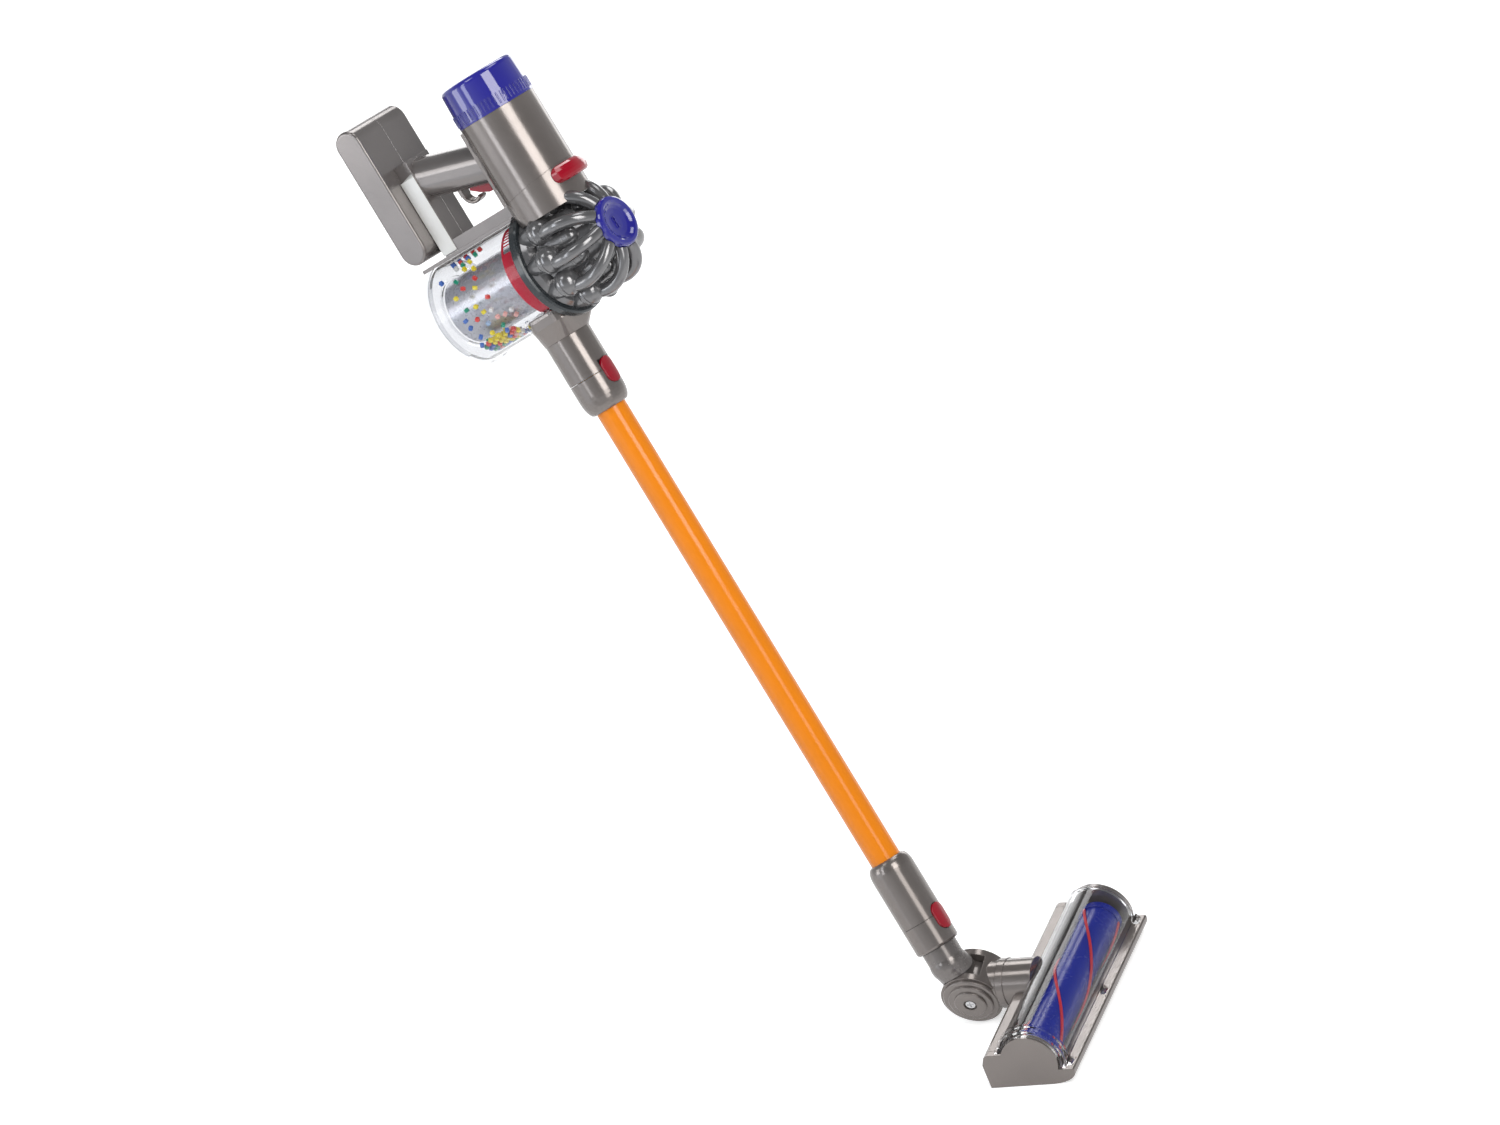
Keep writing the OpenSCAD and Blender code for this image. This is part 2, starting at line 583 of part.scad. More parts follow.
module brush_roller() color("#4438a0") in_head() translate([0, -roller_fwd, roller_z]) rotate([0, 90, 0]) difference() {
    union() {
        cylinder(r = roller_r, h = 2 * roller_half, center = true);
        for (side = [-1, 1]) translate([0, 0, side * (roller_half - 2.5)]) cylinder(r = roller_r + 0.9, h = 5, center = true);
    }
    difference() {
        cylinder(r = roller_r - 2, h = 2 * roller_half - 6, center = true);
        cylinder(r = 3.5, h = 2 * roller_half, center = true);
    }
    for (side = [-1, 1]) translate([0, 0, side * (roller_half - 5)]) cylinder(r = 2 + run_fit, h = 16, center = true);
}
strip_half = roller_half - 5.1;
strip_w = 1.8;
// One strip round the roller, square in section
module spiral_strip(steps = 40) skin([for (i = [0:steps]) let (a = -strip_turn * i / steps)
    for (c = [[0.1, 1], [strip_h, 1], [strip_h, -1], [0.1, -1]])
        let (r = roller_r + c.x, b = a + c.y * strip_w / 2 / roller_r * 180 / PI)
            [r * cos(b), r * sin(b), strip_half * (2 * i / steps - 1)]], 4);
module bristle_strips() color("#c2152f") in_head() translate([0, -roller_fwd, roller_z]) rotate([0, 90, 0])
    for (i = [0:strips - 1]) rotate([0, 0, 360 * i / strips + 40]) spiral_strip();
module rear_wheels() color("#3d3b3a") in_head() translate([0, wheel_y, wheel_z]) rotate([0, 90, 0]) {
    cylinder(r = 1.2, h = 2 * wheel_x + 12, center = true);
    for (side = [-1, 1]) translate([0, 0, side * wheel_x]) rotate_extrude()
        polygon([[1.1, -3.4], [3, -3.4], [3, -2.6], [wheel_r - 0.5, -2.6], [wheel_r, -2.1],
            [wheel_r, 2.1], [wheel_r - 0.5, 2.6], [3, 2.6], [3, 3.4], [1.1, 3.4]]);
}

// Air duct, bin and core

duct_x = 22.5;
duct_front = flange_q - 0.8;
duct_back = -10;
// Flared duct; grow widens it evenly, for the lip and the cut that fit round it
module duct_body(grow) hull() {
    translate([0, 0, nozzle_len + seat_fit]) cylinder(r = nozzle_r + 0.4 + grow, h = 1, $fn = 32);
    translate([0, -(duct_front + duct_back) / 2, nozzle_len + 12 - grow]) linear_extrude(12)
        round_rect(2 * (duct_x + grow), duct_front - duct_back + 2 * grow, 9 + grow, $fn = 32);
}
module bin_room(gap) {
    translate([0, 90, bin_z]) rotate([90, 0, 0]) cylinder(r = bin_r + gap, h = 180);
}
module flange_room(gap) {
    translate([0, -flange_q + gap, bin_z]) rotate([90, 0, 0]) cylinder(r = flange_r + gap, h = 60);
}
module inlet_duct() color("#77736f") in_hand() difference() {
    duct_body(0);
    bin_room(seat_fit);
    flange_room(seat_fit);
    cylinder(r = 8, h = bin_z);
}
// Room taken by the barrel, for the parts that nestle against it
module barrel_room(gap) {
    translate([0, -barrel_fwd, barrel_z0 - gap]) cylinder(r = barrel_r + gap, h = 80);
}
module bin_shell() color([0.85, 0.92, 1, 0.3]) in_hand() difference() {
    union() {
        translate([0, 0, bin_z]) rotate([90, 0, 0])
            ring(bin_r, bin_r - bin_wall, bin_end_q + end_plate_t + seat_fit, flange_q - seat_fit);
        intersection() {
            duct_body(2.2);
            translate([0, -duct_back + 6, bin_z]) rotate([90, 0, 0])
                ring(bin_r + 2.2, bin_r - bin_wall / 2, 0, duct_front - duct_back + 6);
            translate([-60, 3 - duct_front, 0]) cube([120, 90, bin_z]);
        }
    }
    difference() {
        duct_body(0.3);
        translate([0, 0, bin_z]) rotate([90, 0, 0]) cylinder(r = bin_r, h = 180, center = true);
    }
    cylinder(r = 8, h = bin_z - core_r - 2);
    barrel_room(seat_fit);
}
tab_h = 1.6;
module bin_base() color([0.85, 0.92, 1, 0.3]) on_bin() difference() {
    union() {
        translate([0, 0, bin_end_q]) cylinder(r = rim_r, h = end_plate_t);
        ring(rim_r, bin_r + seat_fit, bin_end_q + end_plate_t - 0.2, bin_end_q + rim_len);
        ring(core_r + 2, core_r + 0.6, bin_end_q + end_plate_t - 0.2, bin_end_q + end_plate_t + 2);
        translate([-5, -rim_r - tab_h, bin_end_q]) cube([10, rim_r + tab_h - bin_r - 2 * seat_fit, rim_len]);
    }
    translate([-rim_r, bin_r, bin_end_q - 1]) cube([2 * rim_r, rim_r, rim_len + 2]);
}
module bin_core() color("#8a8886") on_bin() difference() {
    cylinder_core = core_q1 - core_q0;
    translate([0, 0, core_q0]) cylinder(r = core_r, h = cylinder_core);
    translate([0, 0, core_q0 + core_wall]) cylinder(r = core_r - core_wall, h = cylinder_core);
}
module shroud_band() color("#c2152f") in_hand() difference() {
    translate([0, 0, bin_z]) rotate([90, 0, 0]) difference() {
        union() {
            ring(band_r, band_r - band_wall, core_q1 + seat_fit, flange_q - seat_fit);
            ring(band_r, core_r - core_wall - 2, core_q1 + seat_fit, core_q1 + band_wall);
        }
        for (i = [-7:7]) rotate([0, 0, 90 + 4.6 * i]) translate([band_r, 0, (core_q1 + flange_q) / 2])
            cube([8, 1.3, 6.4], center = true);
    }
    barrel_room(seat_fit);
}
// Motor and the fan that whirls the beads
motor_r = 10.2;
motor_q0 = core_q0 + 8;
motor_q1 = motor_q0 + 30;
module motor_mount() color("#5f5d5c") on_bin() difference() {
    ring(core_r - core_wall - seat_fit, motor_r + seat_fit, motor_q1 - 8, motor_q1 - 3);
    for (i = [0:2]) rotate([0, 0, 120 * i + 30]) translate([15.5, 0, motor_q1 - 10]) cylinder(r = 3, h = 10);
}
module drive_motor() color("silver") on_bin() difference() {
    union() {
        translate([0, 0, motor_q0]) cylinder(r = motor_r, h = motor_q1 - motor_q0);
        translate([0, 0, motor_q1 - 0.5]) cylinder(r = 3.2, h = 2);
        translate([0, 0, motor_q0 - 1.5]) cylinder(r = 3.2, h = 2);
    }
    translate([0, 0, motor_q1 - 12]) cylinder(r = 1 + run_fit, h = 20);
}
module bead_fan() color("#b8b6b2") on_bin() {
    translate([0, 0, motor_q1 - 11]) cylinder(r = 1, h = 22);
    translate([0, 0, motor_q1 + 3]) cylinder(r = 4.5, h = 9);
    for (i = [0:6]) rotate([0, 0, 360 / 7 * i]) translate([4, -0.6, motor_q1 + 7.5]) rotate([35, 0, 0])
        translate([0, 0, -4]) cube([core_r - core_wall - 6.6, 1.2, 8]);
}
// Beads rest on the inside of the bin. Each place is the angle round the bin and the distance
// from its closed end: some cling under the rail, some to the wall, and a heap lies at the foot.
bead_seat = bin_r - bin_wall - 0.08;
clinging_at = [[105, 18], [104, 24], [104, 30], [104, 37], [105, 43], [112, 21], [112, 27], [112, 34],
    [113, 41], [119.5, 24], [120, 30.5], [121, 37], [129, 33], [96.5, 27], [96.5, 34], [136, 42]];
stray_at = [[129.7, 11], [140, 25], [153, 30], [149, 42], [160, 40], [159.5, 22], [177, 46.5], [178, 26],
    [180, 34], [190, 37], [192.5, 43], [204, 43], [206, 49], [205, 55.5], [214, 55], [194, 29], [188.5, 20.5],
    [199, 20], [205, 33.5], [217.5, 40.5], [219.5, 29], [216, 20]];
module bead_at(place, lift, spin) rotate([0, 0, place.x])
    translate([bead_seat - bead * 0.72 - lift, 0, bin_end_q + place.y]) rotate([spin, 0, 0]) cube(bead, center = true);
heap_a = 243;
heap_q = 14;
heap_step = 4;
heap_turn = 7.4;
module beads() color("#d8a516") on_bin() {
    for (i = [0:len(clinging_at) - 1]) bead_at(clinging_at[i], 0, 37 * i);
    for (i = [0:len(stray_at) - 1]) bead_at(stray_at[i], 0, 40 * i);
    for (i = [0:7], j = [-2:2])
        bead_at([heap_a + (j + (i % 2) / 2) * heap_turn, heap_q + i * heap_step], 0, 31 * (i + 2 * j));
    for (i = [0:5], j = [-1:1])
        bead_at([heap_a + (j + (i % 2) / 3) * (heap_turn + 1), heap_q + 3 + i * heap_step], bead + 0.35, 17 * (i + j));
}

// Cyclone pack

module cyclone_flange() color("#4f5253") in_hand() difference() {
    translate([0, 0, bin_z]) rotate([90, 0, 0]) rotate_extrude() polygon([[24, flange_q],
        [flange_r - 1, flange_q], [flange_r, flange_q + 1], [flange_r, pack_q - 1.2],
        [flange_r - 1.2, pack_q - seat_fit], [24, pack_q - seat_fit]]);
    barrel_room(seat_fit);
}
finger_hub = bulb_ring_r + 4 - finger_bend;
finger_q = pack_q + pack_len - finger_bend - 2.5;
finger_skew = 12;
first_cyclone = 33;
module air_finger() translate([finger_hub + 2, 0, 0]) rotate([0, 0, finger_skew]) translate([-2, 0, finger_q])
    rotate([90, 0, 0]) rotate([0, 0, -26]) rotate_extrude(angle = 112) translate([finger_bend, 0]) circle(finger_r);
module outer_cyclone() {
    translate([bulb_ring_r, 0, pack_q + 14]) sphere(bulb_r);
    translate([bulb_ring_r, 0, pack_q - 0.5]) cylinder(r1 = bulb_r * 0.62, r2 = bulb_r * 0.98, h = 14);
    translate([bulb_ring_r + 0.4, 0, pack_q + 12.8]) cylinder(r = bulb_r + 0.25, h = 1.6);
    air_finger();
}
inner_ring_r = 25;
inner_tilt = 9;
inner_fit_r = min(inner_r, (inner_ring_r - 24 * sin(inner_tilt)) * sin(180 / cyclones) - 0.35);
module inner_cyclone() translate([inner_ring_r, 0, pack_q + 8]) rotate([0, -inner_tilt, 0]) {
    cylinder(r = inner_fit_r, h = 24);
    translate([0, 0, 23]) sphere(inner_fit_r - 0.3);
    translate([0, 0, 17.6]) cylinder(r = inner_fit_r + 0.35, h = 1.7);
}
module pack_core() rotate_extrude() polygon([[0, pack_q], [flange_r - 4, pack_q], [flange_r - 5.5, pack_q + 4],
    [27, pack_q + 8], [24, pack_q + 26], [19, pack_q + 38], [hub_cap_r - 1.4, pack_q + 44],
    [hub_cap_r - 2, hub_q + 1], [0, hub_q + 1]]);
module cyclone_pack() color("#5f6264") in_hand() difference() {
    translate([0, 0, bin_z]) rotate([90, 0, 0]) {
        pack_core();
        for (i = [0:cyclones - 1]) rotate([0, 0, first_cyclone + 360 / cyclones * i]) {
            outer_cyclone();
            rotate([0, 0, 180 / cyclones]) inner_cyclone();
        }
    }
    barrel_room(seat_fit);
    translate([-60, -pack_q + seat_fit, 0]) cube([120, 60, 2 * bin_z]);
    translate([0, seat_fit - hub_q, bin_z]) rotate([90, 0, 0]) cylinder(r = hub_cap_r + 0.4, h = 20);
}
hub_q = pack_q + pack_len - 1.2;
module cyclone_cap() color("#4438a0") on_bin() translate([0, 0, hub_q]) {
    rotate_extrude() polygon([[0, 0], [hub_cap_r - 0.6, 0], [hub_cap_r, 0.6], [hub_cap_r, 3.2], [hub_cap_r - 0.5, 4.4],
        [hub_cap_r - 1.6, 5.1], [hub_cap_r - 3.4, 5.1], [hub_cap_r - 4.6, 4.5], [hub_cap_r - 6, 3.2],
        [hub_cap_r - 8, 2.2], [6, 1.7], [0, 1.6]]);
    translate([0, 0, 2.1]) cube([1.8, 8, 1.8], center = true);
}

// Barrel and filter cap

// Half space under the slanted parting line, shifted along it by gap
module under_parting(gap) translate([0, -barrel_fwd, parting_z - gap]) rotate([-parting_tilt, 0, 0])
    translate([-100, -100, -200]) cube([200, 200, 200]);
module barrel_body() {
    translate([0, -barrel_fwd, barrel_z0]) cylinder(r = barrel_r, h = barrel_len);
    translate([-strut_w / 2, -barrel_fwd, rail_top + seat_fit])
        cube([strut_w, barrel_r - 0.8, barrel_z1 - rail_top - 2]);
}
module barrel_hollow() translate([0, -barrel_fwd, barrel_z0 + barrel_wall])
    cylinder(r = barrel_r - barrel_wall, h = barrel_len + 1);
// Slot behind the latch, with a spring in its foot and the latch's tongue above that
slot_foot = latch_z + 0.6;
tongue_z = latch_z + latch_h - 5;
tongue_w = 11.6;
tongue_h = 3;
module latch_slot() translate([-tongue_w / 2 - 0.6, -barrel_fwd - barrel_r - 1, slot_foot])
    cube([tongue_w + 1.2, barrel_wall + 4, tongue_z + tongue_h + 0.4 - slot_foot]);
module barrel_upper() color("#77736f") in_hand() difference() {
    barrel_body();
    barrel_hollow();
    under_parting(-seat_fit);
    latch_slot();
    handle_room();
}
module barrel_lower() color("#77736f") in_hand() difference() {
    intersection() {
        barrel_body();
        under_parting(0);
    }
    barrel_hollow();
    latch_slot();
}
module filter_cap() color("#4438a0") in_hand() translate([0, -barrel_fwd, barrel_z1 + seat_fit]) {
    difference() {
        rotate_extrude() {
            polygon([[0, 0], [barrel_r + 0.2, 0], [barrel_r + 0.2, 1.2], [barrel_r - 0.5, cap_len - 4],
                [barrel_r - 4.4, cap_len - 4], [barrel_r - 4.4, cap_len], [0, cap_len]]);
            translate([barrel_r - 4.4, cap_len - 4]) circle(3.9);
        }
        translate([0, 0, -1]) cylinder(r = barrel_r - 2.4, h = cap_len - 3);
    }
    for (i = [0:59]) rotate([0, 0, 6 * i]) translate([barrel_r - 0.6, -0.4, 1.8]) cube([1.1, 0.8, 7.4]);
}
// The latch seen from the side, from its foot up, measured from the barrel's face
latch_side = [[0, 0], [3.6, 0], [4.7, 0.09], [5.2, 0.24], [5.2, 0.42], [4.6, 0.64], [3.4, 0.84], [1.8, 0.96], [0, 1]];
module bin_latch() color("#c2152f") in_hand() {
    translate([0, -barrel_fwd, latch_z]) intersection() {
        rotate_extrude() polygon([for (p = latch_side) [barrel_r + (p.x > 0 ? p.x : move_gap), p.y * latch_h]]);
        along_y(-barrel_r - 8, barrel_r) translate([0, latch_h / 2]) round_rect(latch_w, latch_h, latch_h * 0.42);
    }
    translate([-tongue_w / 2, -barrel_fwd - barrel_r - 1.2, tongue_z]) cube([tongue_w, barrel_wall + 2.6, tongue_h]);
}
module latch_spring() color("silver") in_hand()
    translate([0, -barrel_fwd - barrel_r + barrel_wall - 0.3, slot_foot + seat_fit])
        coil(0.9, 0.25, 5, tongue_z - slot_foot - 2 * seat_fit);
board_fwd = 8;
board_foot = sqrt(pow(barrel_r - barrel_wall - seat_fit, 2) - pow(board_fwd + 1.6, 2));
module circuit_board() color("#2f7d4f") in_hand() translate([0, -barrel_fwd - board_fwd, parting_z + 12]) {
    translate([-18, -0.8, 0]) cube([36, 1.6, 26]);
    for (p = [[-14, 6], [-2, 14], [6, 3]]) translate([p.x, 0.7, p.y]) cube([8, 2, 6]);
    for (z = [3, 20]) translate([-board_foot, -1.6, z]) cube([2 * board_foot, 1.6, 3]);
}
module speaker() color("#3d3b3a") in_hand() translate([0, -barrel_fwd, barrel_z1 + seat_fit]) {
    difference() {
        union() {
            translate([0, 0, cap_len - 12]) cylinder(r1 = 8, r2 = 15, h = 5);
            translate([0, 0, cap_len - 7]) cylinder(r = 16, h = 3);
            translate([0, 0, cap_len - 17]) cylinder(r = 8, h = 5.5);
        }
        translate([0, 0, cap_len - 6]) cylinder(r1 = 6, r2 = 14, h = 4);
    }
    for (i = [0:2]) rotate([0, 0, 120 * i]) translate([12, -2, cap_len - 6.5])
        cube([barrel_r - 2.4 - seat_fit - 12.3, 4, 2]);
}

// Handle, trigger and battery box

module grip_section(shrink) round_rect(grip_w - 2 * shrink, grip_h - 2 * shrink, 11 - shrink);
// The sloping grip between strut and barrel
module grip_tube(shrink) on_grip_local() along_y(-grip_reach, grip_reach + strut_back - grip_back + 6) grip_section(shrink);
grip_reach = 50;
module on_grip_local() translate([0, grip_back, grip_z]) rotate([grip_tilt, 0, 0]) children();
// The space the handle takes inside the barrel's rear pad
module handle_room() intersection() {
    grip_tube(-seat_fit);
    translate([-grip_w, -handle_front, 0]) cube([2 * grip_w, 200, 400]);
}
handle_front = barrel_fwd - barrel_r + barrel_wall + 1.2;
module trigger_slot() translate([-trigger_w / 2 - move_gap, trigger_y - 4, trigger_z - 12])
    cube([trigger_w + 2 * move_gap, 20.4, 20]);
module handle_body() difference() {
    union() {
        intersection() {
            grip_tube(0);
            translate([-grip_w, -handle_front + seat_fit, 0]) cube([2 * grip_w, handle_front + strut_back + 6, 400]);
        }
        translate([-strut_w / 2, strut_back, rail_z + seat_fit])
            cube([strut_w, strut_d - seat_fit, grip_top_z - rail_z - 1]);
    }
    intersection() {
        grip_tube(grip_wall);
        translate([-grip_w, -handle_front + grip_wall, 0]) cube([2 * grip_w, handle_front + strut_back, 400]);
    }
    translate([-strut_w / 2 + grip_wall, strut_back + grip_wall, rail_z + grip_wall + 4])
        cube([strut_w - 2 * grip_wall, strut_d - 2 * grip_wall, grip_z - rail_z - 24]);
    trigger_slot();
    hook_foot(seat_fit);
    translate([0, trigger_y, trigger_z]) rotate([0, 90, 0]) cylinder(r = 1.5 + seat_fit, h = 18, center = true);
    for (p = handle_screw_at) translate([0, p.x, p.y]) rotate([0, 90, 0]) cylinder(r = 1.3, h = strut_w + 2, center = true);
    for (p = handle_screw_at) translate([strut_w / 2 - 2, p.x, p.y]) rotate([0, 90, 0]) cylinder(r = 2.8, h = 4);
}
handle_screw_at = [[strut_back + strut_d / 2, rail_z + 3.4], [strut_back + strut_d / 2, grip_z + 6]];
module handle_half(side) color("#7d7975") in_hand() intersection() {
    handle_body();
    translate([side > 0 ? 0 : -100, -150, 0]) cube([100, 300, 400]);
}
module handle_left() handle_half(-1);
module handle_right() handle_half(1);
module handle_screws() color("silver") in_hand() for (p = handle_screw_at) translate([0, p.x, p.y])
    rotate([0, 90, 0]) difference() {
        union() {
            translate([0, 0, -strut_w / 2 + 3]) cylinder(r = 1.25, h = strut_w - 5);
            translate([0, 0, strut_w / 2 - 2 + seat_fit]) cylinder(r = 2.6, h = 1.5);
        }
        for (a = [0, 90]) rotate([0, 0, a]) translate([-1.8, -0.4, strut_w / 2 - 1.2]) cube([3.6, 0.8, 3]);
    }
module bin_rail() color("#7d7975") in_hand() difference() {
    union() {
        translate([-strut_w / 2 - 1.5, -duct_front, foot_z]) cube([strut_w + 3, duct_front + box_y0 + 22, foot_t]);
        translate([-strut_w / 2, -barrel_fwd + 18, rail_z - 0.1]) cube([strut_w, barrel_fwd - 18 + strut_back - seat_fit, rail_h + 0.1]);
        translate([-strut_w / 2, strut_back - 0.1, rail_z - 0.1]) cube([strut_w, strut_d, 0.1]);
    }
    barrel_room(seat_fit);
    flange_room(seat_fit);
}
module trigger() color("#c2152f") in_hand() translate([0, trigger_y, trigger_z]) difference() {
    union() {
        along_x(trigger_w) polygon([[-2, -2], [2.5, 2.5], [13.5, -0.5], [14.4, -4.4], [8, -8.6], [1, -11.6], [-1.8, -11.8]]);
        rotate([0, 90, 0]) cylinder(r = 3.2, h = trigger_w, center = true);
    }
    rotate([0, 90, 0]) cylinder(r = 1.5 + run_fit, h = trigger_w + 2, center = true);
}
module trigger_pin() color("silver") in_hand() translate([0, trigger_y, trigger_z]) rotate([0, 90, 0])
    cylinder(r = 1.5, h = 17.6, center = true);
module switch_block() color("#3d3b3a") on_grip() translate([0, (trigger_y + 6 - grip_back) / cos(grip_tilt), 0]) {
    translate([-5.5, -4, -1]) cube([11, 9, 7]);
    translate([-grip_w / 2 + grip_wall + seat_fit, -4, -1]) cube([grip_w - 2 * grip_wall - 2 * seat_fit, 9, 2]);
    translate([2, -1, -4]) cube([2, 3, 3.2]);
}
trigger_spring_x = -1.4;
module trigger_spring() color("silver") in_hand()
    translate([trigger_spring_x, trigger_y + 7, trigger_z + 1.4]) coil(1.6, 0.3, 4, 6);
hook_r = 7;
hook_y = 3.9;
hook_z = grip_z - grip_h / 2 / cos(grip_tilt) + (hook_y - grip_back) * tan(grip_tilt) - 2;
module hook_foot(gap) translate([-4 - gap, hook_y + hook_r - 1.3 - gap, hook_z - 0.5])
    cube([8 + 2 * gap, 2.6 + 2 * gap, 6 + gap]);
module trigger_guard() color("#77736f") in_hand() {
    translate([0, hook_y, hook_z]) rotate([90, 0, 90]) rotate([0, 0, 230])
        rotate_extrude(angle = 130) translate([hook_r, 0]) round_rect(2.6, 8, 1.2);
    hook_foot(0);
}
module box_outline(shrink) translate([box_y0 + box_t / 2, box_mid_z])
    round_rect(box_t - 2 * shrink, box_h - 2 * shrink, box_t / 2 - shrink - 0.05);
// A slab as wide as the battery box, with round ends and rounded edges
module rounded_slab() translate([0, box_y0 + box_t / 2, box_mid_z]) {
    end_up = (box_h - box_t) / 2;
    translate([0, 0, -end_up]) linear_extrude(2 * end_up) round_rect(box_w, box_t, box_round);
    for (z = [-end_up, end_up]) translate([0, 0, z]) rotate([0, 90, 0]) rotate_extrude() intersection() {
        round_rect(box_t, box_w, box_round);
        translate([0, -box_w]) square([box_t, 2 * box_w]);
    }
}
module battery_box() difference() {
    rounded_slab();
    along_x(box_w - 2 * box_wall) box_outline(box_wall);
    translate([box_w / 2 - box_wall, 0, 0]) along_x(2 * box_wall + 1) door_outline(seat_fit);
}
module door_outline(grow) translate([box_y0 + box_t / 2, box_mid_z])
    round_rect(box_t - 5 + 2 * grow, box_h - 14 + 2 * grow, 5 + grow);
module battery_half(side) color("#7d7975") in_hand() intersection() {
    battery_box();
    translate([side > 0 ? 0 : -100, 0, 0]) cube([100, 150, 400]);
}
module battery_case_left() battery_half(-1);
module battery_case_right() battery_half(1);
battery_screw_z = box_mid_z - box_h / 2 + 14;
module battery_door() color("#77736f") in_hand() difference() {
    translate([box_w / 2 - box_wall / 2, 0, 0]) along_x(box_wall) door_outline(0);
    translate([0, box_y0 + box_t / 2, battery_screw_z]) rotate([0, 90, 0]) cylinder(r = 1.6, h = box_w);
}
module battery_screw() color("silver") in_hand() translate([box_w / 2, box_y0 + box_t / 2, battery_screw_z])
    rotate([0, 90, 0]) difference() {
        union() {
            translate([0, 0, -10]) cylinder(r = 1.5, h = 10.5);
            translate([0, 0, seat_fit]) cylinder(r = 2.8, h = 1.1);
        }
        for (a = [0, 90]) rotate([0, 0, a]) translate([-2, -0.4, 0.6]) cube([4, 0.8, 1]);
    }
cells = 4;
function cell_z(i) = box_mid_z + 6 + (i - (cells - 1) / 2) * cell_pitch;
module battery_cells() color("#caa24a") in_hand() for (i = [0:cells - 1])
    translate([0, box_y0 + box_t / 2, cell_z(i)]) rotate([0, i % 2 == 0 ? 90 : -90, 0]) {
        translate([0, 0, -cell_len / 2]) cylinder(r = cell_d / 2, h = cell_len - 1);
        translate([0, 0, cell_len / 2 - 1.1]) cylinder(r = 2.7, h = 1.1);
    }
contact_t = 0.5;
module contact_plates() color("silver") in_hand() for (side = [-1, 1]) {
    face_x = box_w / 2 - box_wall - seat_fit;
    for (i = [0:cells - 1]) translate([side * (face_x - contact_t / 2), box_y0 + box_t / 2, cell_z(i)])
        cube([contact_t, 9, 12], center = true);
    gap_x = face_x - contact_t - cell_len / 2;
    for (i = [0:cells - 1]) translate([side * (face_x - contact_t + 0.05), box_y0 + box_t / 2, cell_z(i)])
        rotate([0, -90 * side, 0]) cylinder(r1 = 4.5, r2 = 2.5, h = gap_x);
}

filter_cap();
barrel_upper();
barrel_lower();
bin_latch();
latch_spring();
cyclone_pack();
cyclone_cap();
cyclone_flange();
shroud_band();
bin_shell();
bin_base();
bin_core();
motor_mount();
drive_motor();
bead_fan();
beads();
inlet_duct();
nozzle();
bin_rail();
handle_left();
handle_right();
handle_screws();
trigger();
trigger_pin();
trigger_spring();
trigger_guard();
switch_block();
circuit_board();
speaker();
battery_case_left();
battery_case_right();
battery_door();
battery_screw();
battery_cells();
contact_plates();
upper_collar();
wand_tube();
upper_button();
upper_button_spring();
lower_collar();
neck_socket();
lower_button();
lower_button_spring();
neck_elbow();
knuckle_housing();
pivot_pin();
knuckle_caps();
knuckle_screws();
neck_tube();
head_base();
end_plate_left();
end_plate_right();
clear_cover();
cover_clips();
brush_roller();
bristle_strips();
roller_pins();
rear_wheels();
base_screws();
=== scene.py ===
# %% [markdown]
# Toy cordless stick vacuum cleaner, dressed for its picture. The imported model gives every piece
# its size and place; this lesson adds the camera, the light, the finishes and the finer pieces.

import bmesh
import bpy
import json
import math
from mathutils import Matrix, Vector


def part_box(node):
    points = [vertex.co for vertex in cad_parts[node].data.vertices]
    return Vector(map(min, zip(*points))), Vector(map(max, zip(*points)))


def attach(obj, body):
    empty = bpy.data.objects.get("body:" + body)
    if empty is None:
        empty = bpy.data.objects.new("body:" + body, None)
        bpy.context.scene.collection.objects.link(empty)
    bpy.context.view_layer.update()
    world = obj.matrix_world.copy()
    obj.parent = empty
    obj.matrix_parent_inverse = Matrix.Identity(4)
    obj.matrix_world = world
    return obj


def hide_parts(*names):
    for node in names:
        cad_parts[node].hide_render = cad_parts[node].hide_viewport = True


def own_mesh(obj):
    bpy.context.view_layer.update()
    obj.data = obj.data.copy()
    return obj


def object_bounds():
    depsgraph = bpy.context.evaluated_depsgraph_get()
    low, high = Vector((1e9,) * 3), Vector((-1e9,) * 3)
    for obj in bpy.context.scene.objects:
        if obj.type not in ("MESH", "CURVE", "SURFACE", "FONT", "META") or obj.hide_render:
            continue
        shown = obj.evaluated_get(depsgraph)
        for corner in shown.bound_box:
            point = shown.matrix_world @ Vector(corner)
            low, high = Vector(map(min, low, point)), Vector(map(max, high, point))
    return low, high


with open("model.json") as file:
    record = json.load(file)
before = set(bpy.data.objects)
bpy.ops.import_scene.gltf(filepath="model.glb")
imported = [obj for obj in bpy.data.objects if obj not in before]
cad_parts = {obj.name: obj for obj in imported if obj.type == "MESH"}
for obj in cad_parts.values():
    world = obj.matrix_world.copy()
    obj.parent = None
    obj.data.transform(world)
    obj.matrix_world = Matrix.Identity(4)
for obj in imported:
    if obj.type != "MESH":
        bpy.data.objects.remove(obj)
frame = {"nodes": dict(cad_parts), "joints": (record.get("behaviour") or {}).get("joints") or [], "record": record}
cad_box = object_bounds()
nodes = frame["nodes"]
joints = {joint["name"]: joint for joint in frame["joints"]}

# %% [markdown]
# Most pieces are drawn along the wand, which leans, so places are easier to name in the wand's own
# directions: x to the right, y to the handle's side, z up the wand. They could be typed in as
# numbers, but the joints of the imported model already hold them, so they are read from there and
# can't differ from it. A place and its three directions together make one matrix.

